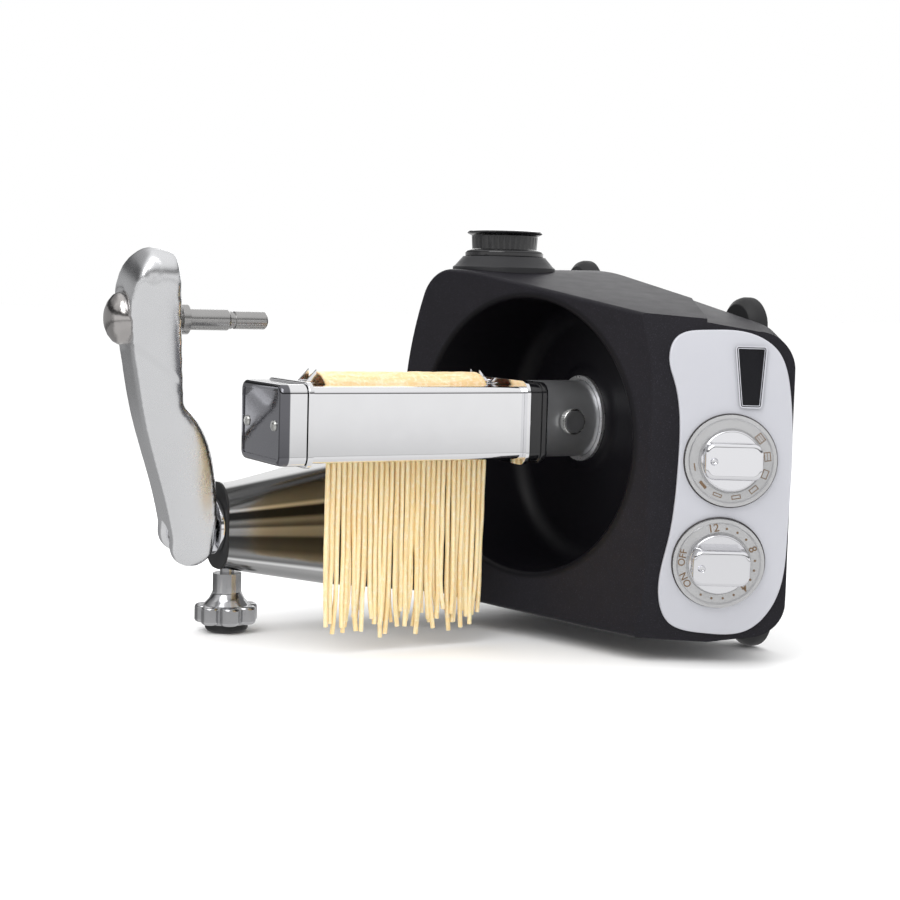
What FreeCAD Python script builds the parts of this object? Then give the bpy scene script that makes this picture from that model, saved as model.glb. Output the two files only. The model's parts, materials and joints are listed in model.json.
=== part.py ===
"""Kitchen machine lying on its side, with a pasta cutter on its drive hub.

Every shape is modelled about the drive hub: X runs along the drive axis towards the base,
-Y is the side with the controls and +Z is up while the machine lies on its side.
At the end everything moves so that the origin is the middle of the whole box, on the ground.
Lengths are millimetres and angles are degrees.
"""
import FreeCAD, Part
import math
import os

V = FreeCAD.Vector
X_AXIS = V(1, 0, 0)
Y_AXIS = V(0, 1, 0)
Z_AXIS = V(0, 0, 1)

# ---- clearances and common stock ------------------------------------------------------
RUNNING_CLEARANCE = 0.05
LOOSE_CLEARANCE = 0.4
WALL = 3.5
SHEET = 1.2

# ---- ground and housing ---------------------------------------------------------------
GROUND_Z = -155.0
BASE_X = 84.0
RIM_REAR_X = -82.0
RIM_REAR_Y = 122.0
BASE_REAR_Y = 168.0
NOSE_X = -13.0
NOSE_Y = -118.0
PANEL_SLOPE = 28.0
PANEL_LENGTH = 88.0
BASE_FRONT_Y = -122.0
HOUSING_TOP_Z = 106.0
HOUSING_BOTTOM_Z = -141.0
TOP_DRAFT = 0.02
BOTTOM_DRAFT = 0.08
TOP_BREAK_Y = 60.0
FRONT_TOP_Z = 66.5
FRONT_BOTTOM_Z = -138.0
BOTTOM_BREAK_Y = -60.0
FRONT_LIMIT_Y = -163.0
FRONT_CORNER_R = 26.0
REAR_CURVE_R = 250.0
BASE_TAPER_X = 58.0
BASE_TAPER = 0.4
FRONT_CURVE_R = 450.0
FRONT_MID_Z = -34.0
REAR_CORNER_R = 30.0
NOSE_R = 26.0
EDGE_R = 3.0
SIDE_CORNER_R = 24.0
SIDE_CORNER_TOP_Z = 65.0
SIDE_CORNER_LOW_Z = -136.5
SIDE_CORNER_RISE = 0.15
SIDE_CORNER_FALL = 0.02
SIDE_CORNER_RUN_OUT = 34.0

# ---- well and drive hub ---------------------------------------------------------------
WELL_Z = -12.0
WELL_MOUTH_R = 100.0
WELL_FLOOR_R = 92.0
WELL_FLOOR_X = 5.0
WELL_FLOOR_FILLET = 14.0
WELL_RIM_FILLET = 4.0
BOSS_R = 44.0
BOSS_TOP_R = 32.0
BOSS_TOP_X = 1.0
HUB_RING_OUTER_R = 30.5
HUB_RING_PROUD = 2.5
HUB_R = 27.0

# ---- drive train ----------------------------------------------------------------------
SHAFT_R = 7.0
SHAFT_END_X = 72.0
BEARING_R = 13.0
BEARING_LENGTH = 9.0
BEARING_NECK_X = 12.0
GEAR_MODULE = 1.5
PINION_TEETH = 15
GEAR_TEETH = 60
GEAR_WIDTH = 10.0
GEAR_X = 14.0
GEAR_BACKLASH = 0.3
MOTOR_BEARING_DEG = 141.0
MOTOR_R = 33.0
MOTOR_SHAFT_R = 4.0
MOTOR_X = 27.0
MOTOR_LENGTH = 46.0
ROTOR_R = 17.0

# ---- base, feet -----------------------------------------------------------------------
BASE_PLATE = 3.0
BASE_PLATE_RECESS = 3.5
FOOT_R = 20.0
FOOT_HEIGHT = 14.0
FOOT_FRONT_Y = -66.0
FOOT_LOW_FRONT_Y = -84.0
FOOT_REAR_Y = 147.0
FOOT_TOP_FRONT_Z = 69.0
FOOT_TOP_REAR_Z = 95.0

# ---- control panel --------------------------------------------------------------------
PANEL_THICKNESS = 2.5
PANEL_MARGIN = 1.0
DIAL_R = 30.0
DIAL_THICKNESS = 3.0
KNOB_R = 20.0
KNOB_BASE = 4.0
KNOB_BAR = (38.0, 24.0, 11.0)
KNOB_SHAFT_R = 3.0
SENSOR_R = 12.0
SENSOR_DEPTH = 14.0
SPEED_DIAL_AT = (46.5, -17.6)
TIMER_DIAL_AT = (41.5, -84.9)
BADGE_AT = (58.5, 36.5)
BADGE_SIZE = (21.5, 14.5, 41.0)

# ---- outlet on the upper side ---------------------------------------------------------
OUTLET_X = -20.0
OUTLET_Y = 82.0
OUTLET_SKIRT_R = 38.0
OUTLET_SKIRT = 8.0
OUTLET_COLLAR_R = 29.0
OUTLET_COLLAR = 5.0
OUTLET_CAP_R = 24.0
OUTLET_CAP_RIM_R = 27.5
OUTLET_CAP = 15.0
OUTLET_BORE_R = 18.0
OUTLET_PLUG = 9.0

# ---- column and arm -------------------------------------------------------------------
COLUMN_Y = 92.0
COLUMN_Z = -80.0
COLUMN_FOOT_X = -158.0
COLUMN_HEAD_X = -238.0
COLUMN_FOOT_SIZE = (54.0, 95.0)
COLUMN_FOOT_RISE = 3.0
COLUMN_HEAD_SIZE = (42.0, 60.0)
COLUMN_CORNER_R = 18.0
POST_R = 13.0
GASKET = 2.0
ARM_LEAN = 17.0
ARM_THICKNESS = 40.0
ARM_FORK_GAP = 16.0
ARM_LENGTH = 199.0
ARM_PIVOT_X = -261.0
ARM_PIVOT_W = -8.0
ARM_PIVOT_R = 16.0
HINGE_PIN_R = 5.0
PIN_W = 151.0
AXLE_PIN_R = 6.0
AXLE_PIN_TIP_X = -223.0
AXLE_COLLAR_R = 10.0
DOME_KNOB_R = 17.0
DOME_KNOB_X = -319.0
STAR_KNOB_X = -231.0
STAR_KNOB_R = 22.5
STAR_LOBE_R = 7.0
STAR_STEM_R = 10.0
STAR_LOBES = 7

# ---- pasta cutter ---------------------------------------------------------------------
CUTTER_RIGHT_X = -73.0
CUTTER_LEFT_X = -227.0
CUTTER_FRONT_Y = -45.0
CUTTER_REAR_Y = 21.0
CUTTER_TOP_Z = 25.0
CUTTER_BOTTOM_Z = -24.0
CUTTER_CORNER_R = 5.0
SLOT_FRONT_Y = -24.0
SLOT_REAR_Y = 2.0
ROLLER_GEAR_MODULE = 1.0
ROLLER_GEAR_TEETH = 22
ROLLER_GEAR_WIDTH = 3.2
ROLLER_R = 11.4
GROOVE_R = 9.6
STRAND_PITCH = 3.9
STRANDS = 31
DISC_WIDTH = 1.5
ROLLER_MID_X = -143.0
ROLLER_JOURNAL_R = 4.0
END_PLATE = 3.0
END_CAP_DEPTH = 18.0
FLANGE = 5.0
FLANGE_LIP = 4.0
GUIDE_THICKNESS = 1.5
DOUGH_THICKNESS = 2.0
DOUGH_WIDTH = 121.0
STRAND_WIDTH = 2.6
CAP_SCREW_R = 1.6
CAP_SCREW_YS = (CUTTER_FRONT_Y + 11, CUTTER_REAR_Y - 9)
STRAND_DROP = 134.0

# ---- values that follow from the ones above -------------------------------------------
SLOPE = math.radians(PANEL_SLOPE)
PANEL_ALONG = V(math.cos(SLOPE), -math.sin(SLOPE), 0)
PANEL_OUT = V(-math.sin(SLOPE), -math.cos(SLOPE), 0)
LEAN = math.radians(ARM_LEAN)
ARM_UP = V(0, -math.sin(LEAN), math.cos(LEAN))
ARM_OUT = V(0, -math.cos(LEAN), -math.sin(LEAN))
ARM_ORIGIN = V(0, COLUMN_Y, COLUMN_Z)
GEAR_DISTANCE = GEAR_MODULE * (PINION_TEETH + GEAR_TEETH) / 2
MOTOR_ANGLE = math.radians(MOTOR_BEARING_DEG)
MOTOR_Y = GEAR_DISTANCE * math.sin(MOTOR_ANGLE)
MOTOR_Z = GEAR_DISTANCE * math.cos(MOTOR_ANGLE)
IDLE_Y = -ROLLER_GEAR_MODULE * ROLLER_GEAR_TEETH
NIP_Y = IDLE_Y / 2
ROLLER_LENGTH = STRAND_PITCH * STRANDS
BASE_PLATE_X = BASE_X - BASE_PLATE_RECESS


# ---- helpers --------------------------------------------------------------------------
def rod(start, axis, radius, length):
    """A cylinder from a point along an axis."""
    return Part.makeCylinder(radius, length, start, axis)


def rod_x(x0, x1, y, z, radius):
    """A cylinder parallel to X between two stations."""
    return rod(V(x0, y, z), X_AXIS, radius, x1 - x0)


def tube_x(x0, x1, y, z, outer, inner):
    """A tube parallel to X between two stations."""
    return rod_x(x0, x1, y, z, outer).cut(rod_x(x0 - 1, x1 + 1, y, z, inner))


def block(x0, x1, y0, y1, z0, z1):
    """A box between two corners."""
    return Part.makeBox(x1 - x0, y1 - y0, z1 - z0, V(x0, y0, z0))


def rounded_wire(corners, radii):
    """A closed wire through corner points, each corner rounded by its own radius."""
    count = len(corners)
    joints = []
    for i, corner in enumerate(corners):
        before = (corners[i - 1] - corner).normalize()
        after = (corners[(i + 1) % count] - corner).normalize()
        half = before.getAngle(after) / 2
        if radii[i] <= 0:
            joints.append((corner, None, corner))
            continue
        reach = radii[i] / math.tan(half)
        bisector = (before + after).normalize()
        middle = corner + bisector * (radii[i] / math.sin(half) - radii[i])
        joints.append((corner + before * reach, middle, corner + after * reach))
    edges = []
    for i, (start, middle, end) in enumerate(joints):
        if middle is not None:
            edges.append(Part.Arc(start, middle, end).toShape())
        following = joints[(i + 1) % count][0]
        if end.distanceToPoint(following) > 1e-6:
            edges.append(Part.makeLine(end, following))
    return Part.Wire(edges)


def rounded_rectangle(origin, across, up, width, height, radius):
    """A rounded rectangle centred on a point of a plane."""
    a = across * (width / 2)
    b = up * (height / 2)
    corners = [origin - a - b, origin + a - b, origin + a + b, origin - a + b]
    return rounded_wire(corners, [radius] * 4)


def prism(wire, direction):
    """The solid swept by a flat wire along a vector."""
    return Part.Face(wire).extrude(direction)


def frame(origin, x_dir, z_dir):
    """The placement of a local frame with the given X and Z directions."""
    rotation = FreeCAD.Rotation(x_dir, z_dir.cross(x_dir), z_dir, "ZXY")
    return FreeCAD.Placement(origin, rotation)


def placed(shape, placement):
    """A copy of a shape built in a local frame, put in its place."""
    moved = shape.copy()
    moved.Placement = placement.multiply(moved.Placement)
    return moved


def revolved(points, axis_origin=V(0, 0, 0), axis=Z_AXIS):
    """The solid of revolution of (radius, height) points about local Z, placed on an axis."""
    wire = Part.makePolygon([V(r, 0, h) for r, h in points] + [V(points[0][0], 0, points[0][1])])
    solid = Part.Face(wire).revolve(V(0, 0, 0), Z_AXIS, 360)
    side = X_AXIS if abs(axis.x) < 0.9 else Y_AXIS
    x_dir = (side - axis * side.dot(axis)).normalize()
    return placed(Part.Solid(solid), frame(axis_origin, x_dir, axis))


def fuse_all(shapes):
    """One solid from a list of overlapping solids."""
    return shapes[0].multiFuse(shapes[1:]).removeSplitter()


def edges_where(shape, test):
    """The edges of a shape whose middle point passes a test."""
    found = []
    for edge in shape.Edges:
        middle = edge.valueAt((edge.FirstParameter + edge.LastParameter) / 2)
        if test(middle, edge):
            found.append(edge)
    return found


def involute_gear(module, teeth, width, bore_r, backlash):
    """A spur gear about local Z, with one tooth centred on local X."""
    pitch_r = module * teeth / 2
    base_r = pitch_r * math.cos(math.radians(20))
    tip_r = pitch_r + module
    root_r = pitch_r - 1.25 * module
    start_r = max(base_r, root_r + 0.05 * module)

    def involute(radius):
        """The involute's own angle at a radius."""
        angle = math.acos(min(1.0, base_r / radius))
        return math.tan(angle) - angle

    half_tooth = math.pi / (2 * teeth) - backlash / (2 * pitch_r)
    points = []
    steps = 4
    for tooth in range(teeth):
        centre = 2 * math.pi * tooth / teeth
        radii = [start_r + (tip_r - start_r) * i / steps for i in range(steps + 1)]
        offsets = [half_tooth + involute(pitch_r) - involute(r) for r in radii]
        flank = [(root_r, offsets[0])] + list(zip(radii, offsets))
        points += [(r, centre - a) for r, a in flank]
        points += [(r, centre + a) for r, a in reversed(flank)]
    outline = [V(r * math.cos(a), r * math.sin(a), 0) for r, a in points]
    body = prism(Part.makePolygon(outline + outline[:1]), V(0, 0, width))
    return body.cut(Part.makeCylinder(bore_r, width + 2, V(0, 0, -1)))


def front_frame(along, z, height=0.0):
    """The local frame on the curved front: X along the slope, Y up, Z outwards."""
    tilt = math.asin((z - FRONT_MID_Z) / FRONT_CURVE_R)
    out = PANEL_OUT * math.cos(tilt) + Z_AXIS * math.sin(tilt)
    centre = V(NOSE_X, NOSE_Y, FRONT_MID_Z) + PANEL_ALONG * along - PANEL_OUT * FRONT_CURVE_R
    return frame(centre + out * (FRONT_CURVE_R + height), PANEL_ALONG, out)


def front_cylinder(radius):
    """The long cylinder whose skin is the curved front, running along the slope."""
    start = V(NOSE_X, NOSE_Y, FRONT_MID_Z) - PANEL_OUT * FRONT_CURVE_R - PANEL_ALONG * 500
    return rod(start, PANEL_ALONG, radius, 1000)


def arm_point(x, w, out=0.0):
    """A point of the arm's own plane: x along X, w up the arm, out towards the front."""
    return ARM_ORIGIN + X_AXIS * x + ARM_UP * w + ARM_OUT * out


# ---- housing --------------------------------------------------------------------------
def side_wire(inset, base_x):
    """The housing's outline seen along Z, moved inwards by a wall."""
    front = PANEL_ALONG * PANEL_LENGTH
    beyond = 12.0
    corners = [
        V(RIM_REAR_X, RIM_REAR_Y, -300) + rim_run() * -beyond,
        V(NOSE_X, NOSE_Y, -300),
        V(NOSE_X + front.x, NOSE_Y + front.y, -300),
        V(base_x, BASE_FRONT_Y, -300),
        V(base_x, BASE_REAR_Y + beyond, -300),
    ]
    wire = rounded_wire(corners, [0, NOSE_R, 7, 0, 0])
    return wire.makeOffset2D(-inset) if inset else wire


def plan_wire(x, inset):
    """The housing's outline seen along X, at a station, moved inwards by a wall."""
    top = TOP_DRAFT * x
    low = -BOTTOM_DRAFT * x
    corners = [
        V(x, BASE_REAR_Y + 60, HOUSING_TOP_Z + top),
        V(x, TOP_BREAK_Y, HOUSING_TOP_Z + top - 1),
        V(x, FRONT_LIMIT_Y, FRONT_TOP_Z + top),
        V(x, FRONT_LIMIT_Y, FRONT_BOTTOM_Z + low / 2),
        V(x, BOTTOM_BREAK_Y, HOUSING_BOTTOM_Z + low),
        V(x, BASE_REAR_Y + 60, HOUSING_BOTTOM_Z + low),
    ]
    wire = rounded_wire(corners, [0, 260, FRONT_CORNER_R, FRONT_CORNER_R, 120, 0])
    return wire.makeOffset2D(-inset) if inset else wire


def rim_run():
    """The direction of the slanted rim, from its rear edge to the nose."""
    return V(NOSE_X - RIM_REAR_X, NOSE_Y - RIM_REAR_Y, 0).normalize()


def rear_cylinder(radius):
    """The long cylinder whose skin is the slanted, gently curved rear wall."""
    along = V(BASE_X - RIM_REAR_X, BASE_REAR_Y - RIM_REAR_Y, 0).normalize()
    out = V(-along.y, along.x, 0)
    start = V(RIM_REAR_X, RIM_REAR_Y, WELL_Z) - out * REAR_CURVE_R - along * 300
    return rod(start, along, radius, 900)


def plan_solid(inset):
    """The housing's long form along X: almost straight, then narrowing to the base."""
    reach = 50.0
    straight = Part.makeLoft([plan_wire(-200, inset), plan_wire(BASE_TAPER_X, inset)], True)
    narrow = plan_wire(BASE_TAPER_X + reach, inset + BASE_TAPER * reach)
    return straight.fuse(Part.makeLoft([plan_wire(BASE_TAPER_X, inset), narrow], True))


def side_corner_tools(inset):
    """Two long tools that round the front's upper and lower corners beside the base."""
    tools = []
    r = SIDE_CORNER_R - inset
    along = PANEL_LENGTH - inset
    origin = V(NOSE_X, NOSE_Y, 0) + PANEL_OUT * 40
    for edge_z, side, rise in (
        (SIDE_CORNER_TOP_Z, 1, SIDE_CORNER_RISE),
        (SIDE_CORNER_LOW_Z, -1, -SIDE_CORNER_FALL),
    ):
        z = edge_z - side * inset - 40 * rise

        def spot(back, down):
            """A point of the tool's section, measured back from the corner's two sides."""
            return origin + PANEL_ALONG * (along - back) + Z_AXIS * (z - side * down)

        bow = r * (1 - math.sin(math.pi / 4))
        path = [
            spot(0, r), spot(-60, r), spot(-60, -60),
            spot(r + SIDE_CORNER_RUN_OUT, -60), spot(r + SIDE_CORNER_RUN_OUT, -5), spot(r, 0),
        ]
        edges = [Part.Arc(spot(r, 0), spot(bow, bow), spot(0, r)).toShape()]
        edges += [Part.makeLine(a, b) for a, b in zip(path, path[1:])]
        wire = Part.Wire(edges)
        tools.append(prism(wire, (Z_AXIS * rise - PANEL_OUT) * 160))
    return tools


def housing_body(inset, base_x):
    """The solid outer form of the housing, or the same form inside a wall."""
    body = prism(side_wire(inset, base_x), V(0, 0, 600))
    body = body.common(plan_solid(inset))
    body = body.common(front_cylinder(FRONT_CURVE_R - inset))
    body = body.common(rear_cylinder(REAR_CURVE_R - inset))
    for tool in side_corner_tools(inset):
        body = body.cut(tool)

    def rear_corner(middle, edge):
        """Whether an edge is one of the long corners behind the well."""
        run = edge.valueAt(edge.LastParameter) - edge.valueAt(edge.FirstParameter)
        return middle.y > WELL_FLOOR_R and abs(run.x) > 10

    return body.makeFillet(REAR_CORNER_R - inset, edges_where(body, rear_corner))


def well_void(grow=0.0):
    """The open well, from above the rim down to its rounded floor, with the hub boss left."""
    slope = (WELL_MOUTH_R - WELL_FLOOR_R) / 80.0
    top = 140.0
    floor = -WELL_FLOOR_X - grow
    corner = WELL_FLOOR_FILLET
    points = [V(0, 0, floor), V(WELL_FLOOR_R + grow - corner, 0, floor)]
    arc = Part.Arc(
        points[1],
        V(WELL_FLOOR_R + grow - corner * 0.293, 0, floor + corner * 0.293),
        V(WELL_FLOOR_R + grow, 0, floor + corner),
    )
    mouth = V(WELL_FLOOR_R + grow + slope * top, 0, top)
    edges = [
        Part.makeLine(points[0], points[1]),
        arc.toShape(),
        Part.makeLine(V(WELL_FLOOR_R + grow, 0, floor + corner), mouth),
        Part.makeLine(mouth, V(0, 0, top)),
        Part.makeLine(V(0, 0, top), points[0]),
    ]
    bowl = Part.Face(Part.Wire(edges)).revolve(V(0, 0, 0), Z_AXIS, 360)
    return placed(Part.Solid(bowl), frame(V(0, 0, WELL_Z), Y_AXIS, V(-1, 0, 0)))


def hub_boss():
    """The low cone in the well's floor that carries the hub ring."""
    return Part.makeCone(BOSS_TOP_R, BOSS_R, WELL_FLOOR_X - BOSS_TOP_X + 1, V(BOSS_TOP_X, 0, 0), X_AXIS)


def main_housing():
    """The motor housing: a thin shell around a deep round well, open at the base."""
    body = housing_body(0, BASE_X)

    def outer_rim(middle, edge):
        """Whether an edge is the rim's outer border, away from the nose."""
        return abs(rim_height(middle)) < 0.5 and middle.y > NOSE_Y + NOSE_R

    body = body.makeFillet(EDGE_R, edges_where(body, outer_rim))
    body = body.cut(well_void())

    def well_edge(middle, edge):
        """Whether an edge is the mouth of the well."""
        reach = math.hypot(middle.y, middle.z - WELL_Z)
        return abs(rim_height(middle)) < 0.5 and WELL_FLOOR_R < reach < WELL_MOUTH_R + 3

    body = body.makeFillet(WELL_RIM_FILLET, edges_where(body, well_edge))
    cavity = housing_body(WALL, BASE_X + WALL + 5).cut(well_void(WALL))
    neck = tube_x(BOSS_TOP_X, BEARING_NECK_X, 0, 0, BEARING_R + WALL, BEARING_R)
    body = body.cut(cavity)
    posts = Part.makeCompound(screw_bosses())
    posts = posts.common(housing_body(WALL / 2, BASE_X).cut(well_void(WALL / 2)))
    body = body.multiFuse([hub_boss(), neck] + posts.Solids)
    body = body.cut(rod_x(BOSS_TOP_X - 20, BEARING_NECK_X + 1, 0, 0, BEARING_R))
    for at in (SPEED_DIAL_AT, TIMER_DIAL_AT):
        hole = Part.makeCylinder(KNOB_SHAFT_R + LOOSE_CLEARANCE, 30, V(0, 0, -15))
        body = body.cut(placed(hole, front_frame(*at)))
    outlet = rod(V(OUTLET_X, OUTLET_Y, HOUSING_TOP_Z - 20), Z_AXIS, OUTLET_BORE_R, 40)
    gland = rod(V(BASE_X - 25, BASE_REAR_Y - 40, -100), Y_AXIS, 6.0, 60)
    return body.cut(outlet).cut(gland).removeSplitter()


def rim_height(point):
    """How far a point lies beyond the slanted rim plane, towards the arm."""
    run = rim_run()
    across = V(run.y, -run.x, 0)
    return (V(point.x, point.y, 0) - V(RIM_REAR_X, RIM_REAR_Y, 0)).dot(across)



def base_plate():
    """The flat cover inside the open base, with screw holes over the bosses."""
    plan = housing_body(WALL + LOOSE_CLEARANCE, BASE_X + WALL + 5)
    slab = block(BASE_PLATE_X, BASE_PLATE_X + BASE_PLATE, -300, 300, -300, 300)
    plate = plan.common(slab)
    for y, z in screw_places():
        plate = plate.cut(rod_x(BASE_PLATE_X - 1, BASE_X + 5, y, z, 2.2))
    return plate


def screw_places():
    """Where the base plate's screws stand."""
    return [(-92, 38), (-92, -112), (10, 74), (10, -122), (132, 60), (132, -100)]


def base_screws():
    """Pan-head screws that hold the base plate."""
    screws = []
    for y, z in screw_places():
        head = rod_x(BASE_PLATE_X + BASE_PLATE, BASE_PLATE_X + BASE_PLATE + 2.4, y, z, 4.0)
        slot = block(BASE_X, BASE_X + 4, y - 3, y + 3, z - 0.5, z + 0.5)
        shank = rod_x(BASE_PLATE_X - 12, BASE_PLATE_X + BASE_PLATE + 1, y, z, 2.0)
        screws.append(head.fuse(shank).cut(slot))
    return Part.makeCompound(screws)


def screw_bosses():
    """Posts inside the housing that take the base plate's screws."""
    posts = []
    for y, z in screw_places():
        post = rod_x(RIM_REAR_X, BASE_PLATE_X, y, z, 5.0)
        posts.append(post.cut(rod_x(BASE_PLATE_X - 12.5, BASE_PLATE_X + 1, y, z, 2.0)))
    return posts


def foot_places():
    """The corners of the base where the rubber feet stand."""
    low = GROUND_Z + FOOT_R
    return [
        (FOOT_FRONT_Y, FOOT_TOP_FRONT_Z),
        (FOOT_REAR_Y, FOOT_TOP_REAR_Z),
        (FOOT_LOW_FRONT_Y, low),
        (FOOT_REAR_Y, low),
    ]


def base_feet():
    """Four broad rubber feet on the base; the lower two also carry the lying machine."""
    feet = []
    for y, z in foot_places():
        start = BASE_X
        profile = [
            (0, 0), (FOOT_R - 5, 0), (FOOT_R - 1, 4), (FOOT_R, 7),
            (FOOT_R, FOOT_HEIGHT - 2), (FOOT_R - 2, FOOT_HEIGHT), (0, FOOT_HEIGHT),
        ]
        feet.append(revolved(profile, V(start, y, z), X_AXIS))
    return Part.makeCompound(feet)


# ---- control panel --------------------------------------------------------------------
def panel_wire():
    """The panel's outline in the slope's own plane: along the slope, then up."""
    points = [
        (5.5, 52), (12, 63.5), (30, 67), (60, 65), (76, 55), (84.5, 30), (86.8, -12), (86, -70),
        (80, -112), (64, -131), (35, -134), (11, -127), (3.5, -108), (8, -72), (12.5, -24), (8.5, 34),
    ]
    origin = V(NOSE_X, NOSE_Y, 0) - PANEL_OUT * 30
    curve = Part.BSplineCurve()
    curve.interpolate([origin + PANEL_ALONG * s + Z_AXIS * z for s, z in points], PeriodicFlag=True)
    return Part.Wire(curve.toShape())


def control_panel():
    """The pale slanted plate that carries the two dials."""
    plate = prism(panel_wire(), PANEL_OUT * 60)
    plate = plate.common(front_cylinder(FRONT_CURVE_R + PANEL_THICKNESS))
    plate = plate.cut(front_cylinder(FRONT_CURVE_R))
    for tool in side_corner_tools(PANEL_MARGIN):
        plate = plate.cut(tool)

    def outer_edge(middle, edge):
        """Whether an edge borders the panel's front face."""
        reach = (middle - V(NOSE_X, NOSE_Y, FRONT_MID_Z) + PANEL_OUT * FRONT_CURVE_R)
        along = reach.dot(PANEL_ALONG)
        radius = (reach - PANEL_ALONG * along).Length
        return radius > FRONT_CURVE_R + PANEL_THICKNESS - 0.2 and edge.Length > 50

    plate = plate.makeFillet(1.2, edges_where(plate, outer_edge))
    for at in (SPEED_DIAL_AT, TIMER_DIAL_AT):
        hole = Part.makeCylinder(KNOB_SHAFT_R + LOOSE_CLEARANCE, 30, V(0, 0, -15))
        plate = plate.cut(placed(hole, front_frame(*at)))
    return plate


def badge():
    """A blank tapered nameplate."""
    top, bottom, height = BADGE_SIZE
    corners = [
        V(-top / 2, height / 2, 0), V(-bottom / 2, -height / 2, 0),
        V(bottom / 2, -height / 2, 0), V(top / 2, height / 2, 0),
    ]
    plate = prism(rounded_wire(corners, [2.5] * 4), V(0, 0, 1.6))
    plate = placed(plate, front_frame(*BADGE_AT, PANEL_THICKNESS - 0.5))
    return plate.cut(front_cylinder(FRONT_CURVE_R + PANEL_THICKNESS))


def dial(at):
    """A flat scale ring around a knob, with a raised rim."""
    hole_r = KNOB_SHAFT_R + LOOSE_CLEARANCE
    profile = [
        (hole_r, 0), (DIAL_R, 0), (DIAL_R, DIAL_THICKNESS), (DIAL_R - 2.2, DIAL_THICKNESS),
        (DIAL_R - 3.2, DIAL_THICKNESS - 1), (KNOB_R + 1, DIAL_THICKNESS - 1),
        (KNOB_R + 1, DIAL_THICKNESS - 1.6), (hole_r, DIAL_THICKNESS - 1.6),
    ]
    return placed(revolved(profile), front_frame(*at, PANEL_THICKNESS + 0.12))


def knob(at):
    """A round knob with a broad grip bar, a finger dimple and a shaft through the panel."""
    length, width, height = KNOB_BAR
    low = DIAL_THICKNESS - 1.6 + LOOSE_CLEARANCE
    top = low + KNOB_BASE
    skirt = Part.makeCylinder(KNOB_R, KNOB_BASE, V(0, 0, low))
    rim = [e for e in skirt.Edges if e.Vertexes[0].Z > top - 0.1 and len(e.Vertexes) == 1]
    skirt = skirt.makeFillet(1.2, rim)
    wire = rounded_rectangle(V(0, 0, top - 2), X_AXIS, Y_AXIS, length, width, 7.0)
    bar = prism(wire, V(0, 0, height + 2))
    bar = bar.makeFillet(3.0, edges_where(bar, lambda m, e: m.z > top + height - 0.1))
    bar = bar.common(Part.makeCylinder(KNOB_R - 0.6, height + 10, V(0, 0, low)))
    shaft = Part.makeCylinder(KNOB_SHAFT_R, low + SENSOR_DEPTH + 8, V(0, 0, -SENSOR_DEPTH - 7))
    dimple = Part.makeSphere(3.0, V(-length / 2 + 6, 0, top + height + 1.6))
    whole = skirt.fuse(bar).fuse(shaft).cut(dimple).removeSplitter()
    return placed(whole, front_frame(*at, PANEL_THICKNESS + 0.12))


def sensor(at):
    """The part behind the wall that reads a knob: a can with a bore for its shaft."""
    back = -WALL - LOOSE_CLEARANCE
    can = Part.makeCylinder(SENSOR_R, SENSOR_DEPTH, V(0, 0, back - SENSOR_DEPTH))
    neck = Part.makeCylinder(5.0, 0.4, V(0, 0, back))
    bore = Part.makeCylinder(KNOB_SHAFT_R + RUNNING_CLEARANCE, 60, V(0, 0, -40))
    tabs = Part.makeBox(8, 3, 6, V(-4, SENSOR_R - 1, back - SENSOR_DEPTH + 2))
    return placed(can.fuse(neck).fuse(tabs).cut(bore), front_frame(*at, 0))


def circuit_board():
    """The speed controller: a board with a heat sink, a capacitor and a terminal block."""
    board = Part.makeBox(46, 60, 1.6, V(-23, -30, 0))
    sink = Part.makeBox(16, 30, 12, V(-20, -15, 1.6))
    for i in range(4):
        sink = sink.cut(Part.makeBox(2, 32, 9, V(-18 + 4 * i, -16, 5.6)))
    capacitor = Part.makeCylinder(6, 18, V(12, -18, 1.6))
    block_ = Part.makeBox(20, 10, 10, V(0, 14, 1.6))
    whole = fuse_all([board, sink, capacitor, block_])
    return placed(whole, frame(V(BASE_PLATE_X, -62, -72), Y_AXIS, V(-1, 0, 0)))


# ---- hub and drive train --------------------------------------------------------------
def hub_ring():
    """The pale ring around the drive hub."""
    return tube_x(BOSS_TOP_X - HUB_RING_PROUD, BOSS_TOP_X, 0, 0, HUB_RING_OUTER_R, HUB_R + 0.3)


def drive_shaft():
    """The output shaft with its hexagonal nose."""
    nose = Part.makePolygon(
        [V(-16, 5.2 * math.cos(a), 5.2 * math.sin(a)) for a in [math.pi * i / 3 for i in range(7)]]
    )
    shaft = rod_x(-4, SHAFT_END_X, 0, 0, SHAFT_R).fuse(prism(nose, V(13, 0, 0)))
    return shaft


def drive_bearings():
    """Two plain bearings that carry the output shaft."""
    bore = SHAFT_R + RUNNING_CLEARANCE
    front = tube_x(BOSS_TOP_X + 1, BOSS_TOP_X + 1 + BEARING_LENGTH, 0, 0, BEARING_R, bore)
    rear = tube_x(SHAFT_END_X - 6, BASE_PLATE_X, 0, 0, BEARING_R, bore)
    rear = rear.cut(rod_x(SHAFT_END_X - 7, SHAFT_END_X + 1, 0, 0, bore))
    return Part.makeCompound([front, rear])


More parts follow.
